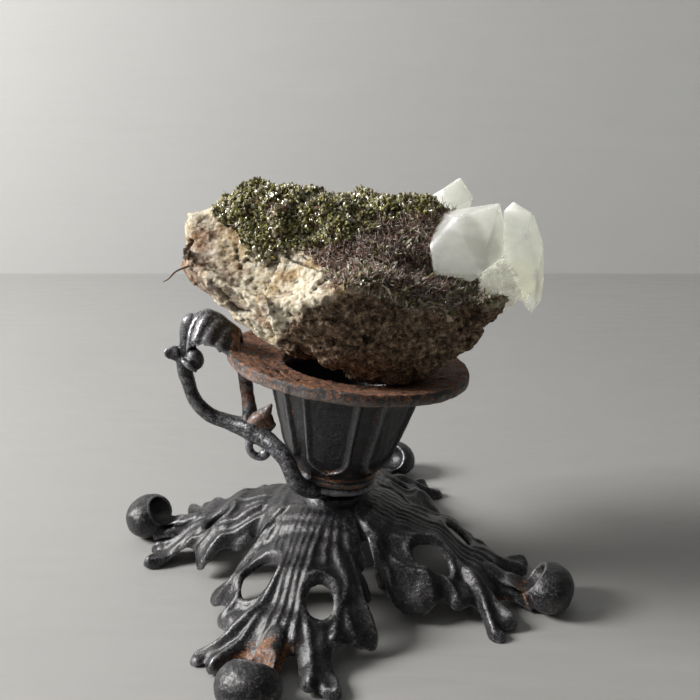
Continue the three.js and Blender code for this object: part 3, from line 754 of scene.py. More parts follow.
def leaf_relief(flat, outline):
    """Height of the ribs, hole rims and rounded edges over the leaf's smooth top."""
    def nearest(line):
        gap = np.linalg.norm(flat[:, None, :] - line[None], axis=2)
        at = gap.argmin(1)
        return at, gap[np.arange(len(flat)), at]
    lift = np.zeros(len(flat))
    for radii, route in LEAF_CORDS:
        line = spline(route, CORD_SAMPLES)
        radius = np.interp(np.linspace(0, 1, CORD_SAMPLES), np.linspace(0, 1, len(radii)), radii)
        at, gap = nearest(line)
        here = radius[at]
        tall = here * (0.45 + 0.6 * step(13, 24, np.linalg.norm(flat, axis=1)))
        lift = np.maximum(lift, tall * np.exp(-((gap / (0.85 * here)) ** 2)))
    for hole in LEAF_HOLES:
        gap = nearest(hole_ring(hole, 0.0, RING_SAMPLES))[1]
        lift = np.maximum(lift, 0.75 * np.exp(-(((gap - 1.3) / 0.9) ** 2)))
        lift -= 1.1 * np.exp(-((gap / 0.6) ** 2))
    fine = spline(outline, OUTLINE_SAMPLES, closed=True)
    gap = nearest(fine)[1]
    lift -= 1.5 * np.exp(-((gap / 0.75) ** 2)) * step(13, 15, np.linalg.norm(flat, axis=1))
    valleys = [p for p, before, after in zip(outline, np.roll(outline, 1, 0), np.roll(outline, -1, 0))
               if abs(p[1]) < min(abs(before[1]), abs(after[1])) + 0.01 and p[0] > 16]
    for p in valleys:
        inward = np.linspace(p, [p[0] - 7.5, p[1] * 0.66], 24)
        at, gap = nearest(inward)
        lift -= 0.9 * (1 - at / 24) * np.exp(-((gap / 0.9) ** 2))
    return lift


def leaf_top(r, t):
    return along(LEAF_SPINE, r) - along(LEAF_DROOP, r) * t * t


def rounded(outline, passes):
    """A closed outline with its corners cut round."""
    for _ in range(passes):
        ahead = np.roll(outline, -1, 0)
        outline = np.stack([0.78 * outline + 0.22 * ahead, 0.22 * outline + 0.78 * ahead], 1)
        outline = outline.reshape(-1, 2)
    return outline


def inside(points, outline):
    """Whether each [x, y] lies inside the closed outline."""
    x, y = points.T
    result = np.zeros(len(points), bool)
    for (x0, y0), (x1, y1) in zip(outline, np.roll(outline, -1, 0)):
        if y0 == y1:
            continue
        crosses = ((y0 > y) != (y1 > y)) & (x < (x1 - x0) * (y - y0) / (y1 - y0) + x0)
        result ^= crosses
    return result


def hole_ring(hole, grow=0.0, count=26):
    r, t, long, wide = hole
    turn = np.linspace(0, 2 * math.pi, count, endpoint=False)
    tilt = 0.25 * math.copysign(1, t)
    a, b = (long + grow) * np.cos(turn), (wide + grow) * np.sin(turn)
    return np.stack([r + a * math.cos(tilt) - b * math.sin(tilt),
                     t + a * math.sin(tilt) + b * math.cos(tilt)], 1)


def leaf_web():
    """The pierced and lobed plate between the cords, as [r, t, z]."""
    minus, plus = np.array(LOBES_MINUS, float), np.array(LOBES_PLUS, float)
    corners = np.vstack([[7, -7], minus * [1, -1], plus[::-1], [7, 7]])
    outline = rounded(corners, 2)
    holes = [hole_ring(hole) for hole in LEAF_HOLES]
    pitch = 0.55
    grid = np.stack(np.meshgrid(np.arange(7, 60, pitch), np.arange(-26, 26, pitch)), -1).reshape(-1, 2)
    keep = inside(grid, outline)
    for hole in LEAF_HOLES:
        keep &= ~inside(grid, hole_ring(hole, 0.4))
    loops = [outline, *holes]
    flat = np.vstack([*loops, grid[keep]])
    edges, start = [], 0
    for loop in loops:
        n = len(loop)
        edges += [(start + i, start + (i + 1) % n) for i in range(n)]
        start += n
    made = delaunay_2d_cdt([Vector(p) for p in flat], edges, [], 0, 1e-4)
    flat = np.array([tuple(p) for p in made[0]])
    triangles = [tuple(f) for f in made[2]]
    middle = np.array([flat[list(f)].mean(0) for f in triangles])
    keep = inside(middle, outline)
    for hole in holes:
        keep &= ~inside(middle, hole)
    triangles = [f for f, k in zip(triangles, keep) if k]
    used = sorted({i for f in triangles for i in f})
    renumber = {old: new for new, old in enumerate(used)}
    flat = flat[used]
    triangles = [tuple(renumber[i] for i in f) for f in triangles]
    count = len(flat)
    smooth_top = leaf_top(flat[:, 0], flat[:, 1])
    top = smooth_top - 0.5 + leaf_relief(flat, corners)
    points = np.vstack([np.c_[flat, top], np.c_[flat, smooth_top - 0.5 - CASTING]])
    faces = list(triangles) + [tuple(count + i for i in reversed(f)) for f in triangles]
    seen = {}
    for f in triangles:
        for i in range(3):
            a, b = f[i], f[(i + 1) % 3]
            seen[(a, b)] = seen.get((a, b), 0) + 1
    faces += [(b, a, count + a, count + b) for a, b in seen if (b, a) not in seen]
    return points, faces


def on_leaf(flat, lift=0.0):
    flat = np.asarray(flat, float)
    return np.c_[flat, leaf_top(flat[:, 0], flat[:, 1]) + lift]


def leaf_parts():
    """Everything that one leaf is cast from, in its own [r, t, z] frame."""
    parts = [leaf_web()]
    tongue = on_leaf(spline([(44, 0.2), (50, 0), (54, 0), (58, 0)], 14), -0.2)
    tongue[:, 2] += np.linspace(0, 3.4, 14)
    parts.append(tube(tongue, [2.4, 3.0, 3.4], 12, 0.5))
    parts.append(ellipsoid((60.0, 0, 5.9), (6.5, 8.0, 6.3)))
    return parts


def trimmed(points, sides):
    """A leaf's points with each of its two sides drawn in by its own share."""
    minus, plus = sides
    r, t, z = points.T
    share = np.where(t < 0, along(minus, r), along(plus, r))
    lift = (1 - share) * 3.0 * step(0, 14, np.abs(t))
    return np.stack([r, t * share, z + lift], 1)


def toe_hollow(points):
    """Scoops out the rolled tip's inner side."""
    centre, half = np.array([54.2, 0, 9.0]), np.array([5.4, 5.2, 4.4])
    way = np.array([0.75, 0, -0.66])
    p = (points - centre) / half
    d = way / half
    a, b, c = d @ d, p @ d, (p * p).sum(1) - 1
    within = c < 0
    root = np.sqrt(np.maximum(b * b - a * c, 0))
    reach = (-b + root) / a
    return points + within[:, None] * np.minimum(reach, 5.0)[:, None] * way


def turned_to(points, azimuth):
    a = math.radians(azimuth)
    r, t, z = points.T
    return np.stack([r * math.cos(a) - t * math.sin(a), r * math.sin(a) + t * math.cos(a), z], 1)


def make_base():
    """The hub and its four leaves: one iron casting, sand-rough, rusty at the leaf ends."""
    profile = [(HUB_RADIUS, HUB_EDGE - 3.4), (HUB_RADIUS - 0.6, HUB_EDGE - 1.6),
               (15.4, HUB_EDGE - 0.2), (12.4, HUB_TOP - 2.8), (9.4, HUB_TOP - 0.6), (8.8, HUB_TOP + 0.4),
               (3.2, HUB_TOP + 0.2), (3.2, HUB_TOP - 5)]
    parts = [turned(profile, 96)]
    pattern = leaf_parts()
    for side, azimuth in LEAF_AZIMUTHS.items():
        for points, faces in pattern:
            parts.append((turned_to(trimmed(points, LEAF_SIDES[side]), azimuth), faces))
    skin = Skin(*fused(parts, VOXEL)).smooth(2)
    for azimuth in LEAF_AZIMUTHS.values():
        local = turned_to(skin.points, -azimuth)
        near = local[:, 0] > 45
        near &= np.abs(local[:, 1]) < 9
        local[near] = toe_hollow(local[near])
        skin.points[near] = turned_to(local[near], azimuth)
    skin.smooth(1)
    p = skin.points
    lumps = 0.22 * fractal(p, 6.5, 2, 1) + 0.05 * fractal(p, 1.9, 3, 2)
    patches = fractal(p, 3.0, 3, 3)
    toes = np.zeros(len(p))
    rust = np.zeros(len(p))
    for side, azimuth in LEAF_AZIMUTHS.items():
        r, t, z = turned_to(p, -azimuth).T
        toe = step(53, 56, r) * step(9.5, 8, np.abs(t))
        toes = np.maximum(toes, toe)
        tip = step(39, 50, r) * step(60, 55, r) * step(13, 5, np.abs(t + 1))
        rust = np.maximum(rust, tip * TIP_RUST[side] * (0.95 + 0.6 * patches))
    lumps += toes * (0.2 * fractal(p, 5, 1, 4) + 0.07 * fractal(p, 1.1, 2, 59))
    skin.push(lumps)
    skin.points[:, 2] = np.maximum(skin.points[:, 2], 0.02)
    under = step(0.1, -0.4, skin.normals()[:, 2])
    nodes = ["base_hub"] + [f"leaf_{side}" for side in LEAF_AZIMUTHS]
    cast_piece(skin, "base_casting", "black_iron", iron_material("black_iron_base", rust=0.3), nodes,
               passes=6, ridge=1.5, groove=5, rust=np.maximum(rust, 0.35 * under))


# ------------------------------------------------------------------ the leaning seat
SEAT = np.array([-0.2, 0.2, 27.4])
LEAN_X, LEAN_Y = 6.6, 4.4
LEAN_AXIS = Vector((math.tan(math.radians(LEAN_X)), math.tan(math.radians(LEAN_Y)), 1)).normalized()
LEAN_TURN = np.array(Vector((0, 0, 1)).rotation_difference(LEAN_AXIS).to_matrix())


def leaning(points):
    """From the seat's own upright frame into the hub's."""
    return np.asarray(points, float) @ LEAN_TURN.T + SEAT


# ------------------------------------------------------------------ candle cup and drip pan
CUP_FOOT = 2.6
CUP_HEIGHT = 29.4
PAN_FOOT = 32.3
PANELS = 6
PANEL_TURN = math.radians(-11)
PANEL_HALF = 0.335
PANEL_BOTTOM, PANEL_SHOULDER = 4.9, 9.4
CUP_OUTSIDE = [[0, 11.0], [1.2, 11.6], [2.3, 10.9], [3.2, 11.3], [4.6, 12.9], [8.6, 14.9],
               [17.6, 17.7], [24, 19.6], [27, 20.7], [29.4, 21.9]]
CUP_INSIDE = [(17.2, 29.4), (17.2, 25), (14.6, 18.5), (12, 9.5), (9, 5.5), (6.6, 3.4), (3.0, 3.2),
              (2.6, 2.8), (2.6, 0.3), (3.2, 0)]


def cup_relief(z, angle):
    """Height of the cup's raised panels over its plain outside, at each height and angle."""
    share = (angle - PANEL_TURN) * PANELS / (2 * math.pi)
    off = np.abs(share - np.floor(share) - 0.5)
    sunk = np.clip((PANEL_SHOULDER - z) / (PANEL_SHOULDER - PANEL_BOTTOM), 0, 1)
    half = PANEL_HALF * np.sqrt(1 - sunk ** 2.2)
    arc = 2 * math.pi * read(CUP_OUTSIDE, z) / PANELS
    into = (half - off) * arc
    bead = 0.5 * np.exp(-((into / 0.45) ** 2))
    panel = -step(0.3, 1.4, into) * (0.25 + 0.85 * (1 - (off / PANEL_HALF) ** 2)) * (0.4 + 0.03 * z)
    groove = -0.85 * step(-0.4, -1.3, into)
    return (bead + panel + groove) * step(3.0, 4.4, z)


def casting_hole():
    """The round hole that runs down and out through the back of the cup's mouth."""
    pitch = math.radians(16)
    way = np.array([0, math.cos(pitch), -math.sin(pitch)])
    centre = np.array([-14.3, 15.0, 30.7])
    path = centre + np.outer(np.linspace(-11, 11, 12), way)
    points, faces = tube(path, [3.6, 3.6], 28)
    return leaning(points), faces


def make_cup():
    sides = 384
    rise = np.r_[np.linspace(0, 4.4, 16)[:-1], np.linspace(4.4, CUP_HEIGHT, 84)]
    inner = spline(CUP_INSIDE, 60)
    outer = np.c_[read(CUP_OUTSIDE, rise), rise]
    loop = np.vstack([outer, inner])
    points, faces = turned([tuple(p) for p in loop], sides)
    n = len(loop)
    on_outside = np.arange(len(points)) % n < len(outer)
    angle = np.arctan2(points[:, 1], points[:, 0])
    lift = cup_relief(points[:, 2], angle) * on_outside
    points[:, :2] *= (1 + lift / np.linalg.norm(points[:, :2], axis=1))[:, None]
    points = leaning(points + [0, 0, CUP_FOOT])
    points, faces = cut(points, faces, casting_hole())
    skin = Skin(points, faces)
    p = skin.points
    skin.push(0.1 * fractal(p, 7, 2, 5) + 0.06 * fractal(p, 1.6, 3, 6))
    stand_out = skin.ridges(5)
    seat_side = (p - SEAT) @ np.array(LEAN_AXIS)
    foot = step(10.5, 6.0, seat_side) * (0.55 + 0.45 * fractal(p, 3, 3, 7))
    mouth = step(29, 32, seat_side) * 0.4
    creases = step(0.02, 0.12, np.abs(stand_out)) * 0.35
    cup = skin.make("candle_cup_casting", ridge=stand_out * 2.5, groove=-stand_out * 8,
                    rust=foot * 0.45 + mouth + creases)
    place_piece(cup, "chamberstick", "black_iron",
                iron_material("black_iron_cup", rust=0.25, wear=0.3, dust=0.05), "candle_cup")


PAN_CRACK = [(-17.6, -14.6), (-16.8, -19.0), (-15.6, -22.0), (-13.1, -22.9), (-10.6, -22.4)]
PAN_CRACK_BRANCH = [(-12.6, -22.8), (-11.6, -21.2), (-9.4, -21.0)]


def distance_to(line, points):
    """Least distance from each [x, y] to a line of points."""
    best = np.full(len(points), 1e9)
    for a, b in zip(line[:-1], line[1:]):
        a, b = np.array(a), np.array(b)
        share = np.clip((points - a) @ (b - a) / ((b - a) @ (b - a)), 0, 1)
        best = np.minimum(best, np.linalg.norm(points - (a + share[:, None] * (b - a)), axis=1))
    return best


def make_pan():
    """The drip pan: a thin dished ring, hammered and rusty, with a crack in its skin."""
    top = spline([(32.25, 3.0), (31.95, 3.95), (31.4, 4.0), (29, 3.6), (22, 2.1), (17.6, 1.7)], 46)
    under = spline([(17.2, 1.3), (17.2, 0.3), (17.8, 0.05), (22, 0.2), (28.4, 1.1), (31.5, 0.95),
                    (32.15, 1.5)], 34)
    loop = np.vstack([top, under])
    points, faces = turned([tuple(p) for p in loop], 420)
    points, faces = cut(leaning(points + [0, 0, PAN_FOOT]), faces, casting_hole())
    skin = Skin(points, faces)
    local = (skin.points - SEAT) @ LEAN_TURN - [0, 0, PAN_FOOT]
    radius = np.linalg.norm(local[:, :2], axis=1)
    on_top = step(0.2, 0.6, skin.normals() @ np.array(LEAN_AXIS)) * step(31.9, 31.2, radius)
    edge = step(30.6, 31.8, radius)
    p = skin.points
    lift = 0.22 * fractal(p, 14, 2, 8) + 0.12 * fractal(p, 3.2, 3, 9) + 0.08 * fractal(p, 1.1, 3, 10)
    flakes = fractal(p, 4.5, 4, 11, 0.5)
    lift += 0.16 * step(0.02, 0.1, flakes) * on_top
    wiggle = np.stack([fractal(p, 2.2, 2, 12), fractal(p, 2.2, 2, 13)], 1) * 0.5
    crack = np.minimum(distance_to(PAN_CRACK, local[:, :2] + wiggle),
                       distance_to(PAN_CRACK_BRANCH, local[:, :2] + wiggle))
    lift -= 0.75 * step(0.42, 0.12, crack) * on_top
    skin.push(lift)
    stand_out = skin.ridges(5)
    paint = 0.1 * edge + 0.15 * (1 - on_top) - 0.1 * on_top
    pan = skin.make("drip_pan_casting", ridge=stand_out * 2.5,
                    groove=-stand_out * 5 + step(0.5, 0.15, crack) * on_top, paint=paint)
    place_piece(pan, "chamberstick", "rusted_iron", rusted_material("rusted_iron_pan"), "drip_pan")


# ------------------------------------------------------------------ handle
COLLAR_RADIUS = 11.2
STEM = [(-4.5, -8.0, 29.2), (-6.8, -9.8, 30.2), (-9.6, -10.6, 32.6), (-11.3, -10.3, 36), (-13, -8.8, 39.1),
        (-15.8, -6.6, 41.3), (-19.4, -3.6, 42.8), (-23.6, -1, 44.2), (-28.4, 1, 45), (-33.8, 2, 46.9),
        (-37.2, 2, 50.4), (-39, 2, 55.6), (-39.8, 2, 61), (-38.6, 2, 66.4), (-38.4, 2, 71), (-37.4, 2, 73.6)]
STEM_RADII = [2.2, 2.4, 2.3, 2.2, 2.3, 2.6, 3.0, 2.4, 2.1, 2.0, 1.95, 1.9, 2.1, 2.3, 2.1, 2.2]
INNER_STEM = [(-22.6, -0.8, 43.6), (-22.8, 0.6, 48), (-23.4, 2, 53), (-23.9, 2.8, 58), (-23.8, 3, 62.4)]
THUMB_SPINE = [(-38.4, 2, 71.2), (-37.2, 2, 74.6), (-33.4, 2, 76.6), (-29.8, 2, 75.4), (-26.8, 2, 73),
               (-24.4, 2, 70.9)]
BUDS = [((-36.7, 0.6, 63.2), (2.5, 2.6, 3.0)), ((-39.6, 1.8, 63.2), (2.6, 2.5, 2.4)),
        ((-42.2, 1.4, 65.0), (1.9, 1.9, 1.9))]


def make_vine():
    """The stem, its collar under the cup and the knot of buds half way up."""
    parts = [tube(spline(STEM, 120), STEM_RADII, 18)]
    low, high = 0.3, 2.3
    ring = [(3, low), (COLLAR_RADIUS - 0.6, low), (COLLAR_RADIUS + 0.5, low + 0.6),
            (COLLAR_RADIUS + 0.5, high - 0.5), (COLLAR_RADIUS - 0.4, high + 0.1), (3, high)]
    points, faces = turned(ring, 72)
    parts.append((leaning(points), faces))
    parts += [ellipsoid(centre, half, 20) for centre, half in BUDS]
    dice = random.Random(4)
    centre = np.array(BUDS[2][0])
    for k in range(9):
        turn = 2 * math.pi * k / 9
        petal = centre + [1.5 * math.cos(turn) - 0.5, 0.6 * dice.uniform(-1, 1) - 0.9, 1.5 * math.sin(turn)]
        parts.append(ellipsoid(petal, (0.75, 0.8, 0.75), 10))
    twig = spline([(-36.2, -1.6, 60.8), (-37.8, -2.0, 62.4), (-39.6, -1.4, 63.6)], 10)
    parts.append(tube(twig, [0.6, 0.9, 0.6], 8))
    parts.append(ellipsoid((-21.4, -2.2, 43.2), (3.2, 3.0, 2.9), 20))
    skin = Skin(*fused(parts, VOXEL)).smooth(4)
    p = skin.points
    skin.push(0.16 * fractal(p, 5, 2, 14) + 0.07 * fractal(p, 1.4, 3, 15))
    iron = iron_material("black_iron_handle", rust=0.15, dust=0.05)
    cast_piece(skin, "handle_casting", "black_iron", iron, ["handle_vine"], passes=6, ridge=3, groove=5,
               rust=0.35 * step(-30, -18, p[:, 0]) * step(0.2, -0.4, skin.normals()[:, 2]))


def make_inner_stem():
    """The short rusty stem between the fork and the thumb leaf."""
    stem = tube(spline(INNER_STEM, 40), [2.5, 2.1, 1.9, 2.0, 2.1], 16)
    skin = Skin(*fused([stem], VOXEL)).smooth(3)
    p = skin.points
    skin.push(0.2 * fractal(p, 4, 2, 16) + 0.08 * fractal(p, 1.2, 3, 17))
    iron = iron_material("rusted_iron_stem", rust=0.55, wear=0.5, dust=0.1)
    cast_piece(skin, "inner_stem_casting", "rusted_iron", iron, ["inner_stem"], passes=5, ridge=5, groove=5,
               rust=0.42 + 0.3 * fractal(p, 3, 2, 18))


def make_thumb_leaf():
    """An arched leaf with oblique pleats on its drooping flanks and a blunt end."""
    spine = spline(THUMB_SPINE, 90)
    across = 61
    share = np.linspace(0, 1, len(spine))
    over, under = [], []
    for point, u in zip(spine, share):
        spread = 2.7 + 3.5 * math.sin(math.pi * min(0.62, 0.12 + 0.6 * u))
        side = np.linspace(-1, 1, across)
        wave = np.cos(2 * math.pi * (5.5 * u + 1.5 * np.abs(side) - 0.1))
        pleat = 0.17 * wave * step(0.15, 0.5, np.abs(side))
        pleat *= step(0.02, 0.14, u) * step(1.0, 0.8, u)
        fold = 0.3 * np.exp(-(side / 0.12) ** 2)
        y = point[1] + spread * side
        z = point[2] - 1.05 * spread * side * side
        over.append(np.stack([np.full(across, point[0]), y + 0.7 * pleat * side, z + pleat + fold], 1))
        under.append(np.stack([np.full(across, point[0]), y, z - 1.9], 1))
    rings = [np.vstack([a, b[::-1]]) for a, b in zip(over, under)]
    skin = Skin(*fused([loft(rings)], 0.3)).smooth(2)
    p = skin.points
    skin.push(0.08 * fractal(p, 2.2, 3, 19))
    iron = iron_material("black_iron_thumb", rust=0.3, wear=0.9, dust=0.15)
    cast_piece(skin, "thumb_leaf_casting", "black_iron", iron, ["thumb_leaf"], passes=5, ridge=4, groove=6,
               rust=0.25 + 0.45 * step(-27.5, -25.2, p[:, 0]), rub=0.08)


def make_thorn_leaf():
    """The small folded leaf in the fork: a pointed upper lobe over a blunt lower one."""
    upper = spline([(-22.6, -1.4, 45.2), (-20.4, -1.8, 47.0), (-18.2, -1.9, 49.2), (-16.8, -1.8, 51.2)], 24)
    lower = spline([(-22.4, -1.6, 44.6), (-20, -2.2, 44.6), (-17.8, -2.3, 45.1), (-16.6, -2.2, 45.8)], 20)
    blade = spline([(-21.6, -1.5, 45.6), (-19.2, -1.9, 46.4), (-17.4, -2.0, 47.2)], 16)
    parts = [tube(upper, [1.7, 2.3, 1.9, 0.6], 14), tube(lower, [1.7, 1.9, 1.7, 1.2], 14),
             tube(blade, [1.6, 2.2, 1.6], 14)]
    skin = Skin(*fused(parts, 0.3)).smooth(3)
    hollow = np.array([-15.6, -2.2, 47.6])
    away = skin.points - hollow
    reach = np.linalg.norm(away / [1.9, 1.5, 1.6], axis=1)
    skin.points += (away / np.maximum(reach, 0.2)[:, None] - away) * (reach < 1)[:, None]
    p = skin.smooth(1).points
    skin.push(0.08 * fractal(p, 1.8, 3, 20))
    iron = iron_material("rusted_iron_thorn", rust=0.5, dust=0.1)
    cast_piece(skin, "thorn_leaf_casting", "rusted_iron", iron, ["thorn_leaf"], passes=5, ridge=5, groove=5,
               rust=0.5 + 0.25 * fractal(p, 3, 2, 21), rub=0.1)


def make_tendril():
    """The little hook that curls down from the fork."""
    hook = spline([(-22.0, -3.0, 42.6), (-22.9, -3.5, 40.4), (-22.4, -3.8, 38.4), (-20.8, -3.9, 37.2),
                   (-19.0, -4.0, 37.3), (-18.3, -4.0, 38.5)], 40)
    parts = [tube(hook, [1.5, 1.2, 1.1, 1.1, 1.2, 1.3], 12)]
    parts.append(ellipsoid((-18.6, -4.0, 38.1), (1.6, 1.6, 1.5), 14))
    skin = Skin(*fused(parts, 0.28)).smooth(3)
    skin.push(0.07 * fractal(skin.points, 1.8, 3, 22))
    iron = iron_material("black_iron_tendril", rust=0.2, wear=0.7, dust=0.1)
    cast_piece(skin, "tendril_casting", "black_iron", iron, ["curled_tendril"], passes=5, ridge=5, groove=5,
               rust=np.full(len(skin.points), 0.25), rub=0.1)


def make_hardware():
    """The hidden clamp keeps its built shape and gets its steel."""
    steel = steel_material()
    for name in ("clamp_screw", "washer", "square_nut"):
        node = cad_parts[name]
        node.data.materials.clear()
        node.data.materials.append(steel)


# ------------------------------------------------------------------ rock
# Sections along X: x, bottom z, top z, front crest y, crest z, back y.
ROCK_SECTIONS = [
    (-36.6, 91, 99.8, -8, 95.5, 11), (-34.6, 88, 101.4, -11, 93.5, 15), (-29.4, 82.2, 103, -14, 90, 20),
    (-21, 75.2, 107, -17.6, 87, 24), (-12, 70.4, 106.4, -21.6, 85, 26), (-2, 67.2, 105.2, -25.6, 88.5, 27),
    (10, 62.2, 103.8, -24.4, 91, 27), (21, 61.4, 103.8, -21, 88, 25), (30, 67, 100, -17, 84.5, 21),
    (40, 75.4, 92, -12, 83.5, 15), (45.5, 79.6, 87.4, -7, 83, 8),
]
# Lower edge of the green crust over the front of the rock, as [x, z].
DRUSE_EDGE = [[-32, 104], [-27, 101], [-22.9, 95.4], [-16.8, 92.8], [-8, 95.4], [2.7, 97.2], [12.5, 100.8],
              [22.4, 102.4], [30, 104]]
# Where the cream ledge gives way to the dark underside, whose dark brown is partly browner stone and partly
# painted shade, and the lower edge of the fibrous hollow, as [x, z].
SHADE_EDGE = [[-15, 70], [-11.4, 79], [-9.5, 82], [-5.8, 86], [-0.3, 88.5], [6.3, 89.6],
              [12.4, 87.3], [18.5, 84.1], [46, 82]]
HOLLOW_EDGE = [[-16, 98], [-12, 97], [-8, 95], [-4, 92.5], [0, 90.5], [8, 90.3], [12, 88],
               [18, 84.5], [31, 82.5], [43, 82.5]]
ROCK_PITS = [((-38.5, -8, 95.6), (5.5, 6, 2.6)), ((-33, -14.5, 91.2), (2.6, 3, 1.4)),
             ((-27, -17.5, 84.8), (3.2, 3, 2.2)), ((-14, -23, 79.5), (3.4, 2.4, 2.0))]


def rock_ring(section):
    x, bottom, top, crest_y, crest_z, back_y = section
    fall = crest_z - top
    loop = [
        (crest_y, crest_z), (0.86 * crest_y, 0.45 * crest_z + 0.55 * bottom), (0.5 * crest_y, bottom),
        (0.34 * back_y, bottom - 0.4), (0.84 * back_y, 0.5 * (bottom + crest_z)), (back_y, crest_z + 2),
        (0.8 * back_y, top - 4), (0.42 * back_y, top - 0.3), (0.05 * back_y, top),
        (0.3 * crest_y, top + 0.42 * fall), (0.66 * crest_y, top + 0.9 * fall),
    ]
    ring = spline(loop, 150, closed=True)
    return np.c_[np.full(len(ring), x), ring]


def rock_loft():
    rows = spline(ROCK_SECTIONS, 110)
    rings = [rock_ring(row) for row in rows]
    for end, way in ((0, -1), (-1, 1)):
        ring = rings[end]
        middle = ring.mean(0)
        cap = middle + (ring - middle) * 0.8 + [way * 0.8, 0, 0]
        rings = [cap] + rings if end == 0 else rings + [cap]
    return loft(rings)


def keep_off_pan(points):
    """Lifts what would touch the pan's dished top or its rim."""
    local = (points - SEAT) @ LEAN_TURN - [0, 0, PAN_FOOT]
    radius = np.linalg.norm(local[:, :2], axis=1)
    floor = np.interp(radius, [0, 15, 16.6, 22, 29, 33.4, 33.8], [-50, -50, 2.1, 2.7, 4.3, 4.5, -50])
    lift = np.maximum(floor - local[:, 2], 0) * (local[:, 2] > -6)
    local[:, 2] += lift
    return leaning(local + [0, 0, PAN_FOOT])


def make_rock():
    """The matrix: granular, ledged and pitted, with a crest along its front."""
    skin = Skin(*fused([rock_loft()], 0.46)).smooth(2)
    p = skin.points
    for centre, half in ROCK_PITS:
        uneven = np.stack([fractal(p, 3, 2, 60 + k) for k in range(3)], 1)
        away = (p - centre) / half + 0.35 * uneven
        depth = step(1.6, 0.0, np.linalg.norm(away, axis=1))
        skin.push(-depth * min(half) * 1.1)
        p = skin.points
    ragged = 1.6 * fractal(p, 7, 3, 30)
    # Dark brown below SHADE_EDGE: partly browner stone, partly painted shade on the underside that faces
    # away from the window.
    dark = step(1.2, -1.2, p[:, 2] - read(SHADE_EDGE, p[:, 0]) + ragged)
    dark *= step(-15.5, -12.5, p[:, 0] + ragged)
    crusted = step(0, 3, p[:, 2] - read(DRUSE_EDGE, p[:, 0]))
    lift = 0.8 * fractal(p, 15, 2, 33) + 1.7 * blocky(p, 11, 31) + 0.6 * (1 - crusted) * blocky(p, 4.5, 32)
    lift += 0.2 * (ridged(p, 5, 3, 34) - 1.0) * (1 - crusted)
    lift += crusted * (1.3 * fractal(p, 8, 2, 39) + 0.9 * fractal(p, 3.6, 1, 26))
    skin.push(lift)
    skin.push((0.3 + 0.25 * dark) * blocky(skin.points, 1.9, 28) + 0.16 * fractal(skin.points, 1.3, 3, 29))
    skin.push(0.16 * fractal(skin.points, 0.95, 2, 35))
    skin.points = keep_off_pan(skin.points)
    p = skin.points
    stand_out = skin.ridges(8)
    iron = step(-24, -34, p[:, 0] + 4 * fractal(p, 6, 3, 36)) * step(4, -6, p[:, 1])
    iron = np.maximum(iron, 0.7 * step(0.1, 0.5, fractal(p, 8, 3, 37)) * (1 - dark))
    behind = step(0, 14, p[:, 1])
    dark = np.maximum(dark, behind * step(-0.1, 0.4, fractal(p, 9, 3, 38)) * 0.8)
    upper = step(-1, 1.5, p[:, 2] - read(HOLLOW_EDGE, p[:, 0]))
    dark = np.maximum(dark, upper * step(-7, -4, p[:, 0] + 2 * fractal(p, 4, 2, 27)))
    dark = np.maximum(dark, druse_weight(p, skin.normals()))
    rock = skin.make("rock_matrix_body", dark=dark, iron=iron, groove=-stand_out * 2.2)
    place_piece(rock, "specimen", "matrix_rock", rock_material(), "rock_matrix")
    return skin


# ------------------------------------------------------------------ crystals grown on the rock
DRUSE_BLADES = 5400
HOLLOW_BLADES = 1000
FIBRES = 6000
ROOT_POINTS = 420


def frames_on(normals, dice, tilt):
    """A random upright frame for each normal: columns side, side and along."""
    out = []
    for n in normals:
        axis = Vector(n) + tilt * Vector((dice.gauss(0, 1), dice.gauss(0, 1), dice.gauss(0, 1)))
        axis.normalize()
        turn = axis.to_track_quat("Z", "Y").to_matrix()
        spin = Matrix.Rotation(dice.uniform(0, 2 * math.pi), 3, "Z")
        out.append(np.array(turn @ spin))
    return np.array(out)


def scattered(skin, weight, count, dice):
    """Points and normals spread over the skin, as many per area as weight asks."""
    normals = skin.normals()
    faces = np.array([f[:3] for f in skin.faces])
    a, b, c = (skin.points[faces[:, k]] for k in range(3))
    area = np.linalg.norm(np.cross(b - a, c - a), axis=1)
    chance = np.cumsum(area * weight[faces].mean(1))
    picks = np.searchsorted(chance, [dice.random() * chance[-1] for _ in range(count)])
    u = np.array([[dice.random(), dice.random()] for _ in range(count)])
    flip = u.sum(1) > 1
    u[flip] = 1 - u[flip]
    at = a[picks] + u[:, :1] * (b[picks] - a[picks]) + u[:, 1:] * (c[picks] - a[picks])
    return at, normals[faces[picks, 0]]


BLADE = np.array([(x, y, z) for z in (0.0, 0.8) for x, y in
                  [(1, 0), (0.45, 0.5), (-0.55, 0.5), (-1, 0), (-0.45, -0.5), (0.5, -0.5)]]
                 + [(0.35, 0.0, 1.0), (-0.3, 0.1, 0.94)])
BLADE_FACES = ([(k, (k + 1) % 6, 6 + (k + 1) % 6, 6 + k) for k in range(6)]
               + [(6, 7, 12), (7, 8, 13, 12), (8, 9, 13), (9, 10, 13), (10, 11, 12, 13), (11, 6, 12)])


def blades(at, frames, lengths, widths):
    """Small six-sided tapering blades with a roof-shaped end."""
    points, faces = [], []
    for origin, turn, length, width in zip(at, frames, lengths, widths):
        start = len(points) * len(BLADE)
        local = BLADE * [width, width, length] - [0, 0, 0.25 * length]
        points.append(origin + local @ turn.T)
        faces += [tuple(start + i for i in f) for f in BLADE_FACES]
    return np.vstack(points), faces


NEEDLE_ROWS = 4


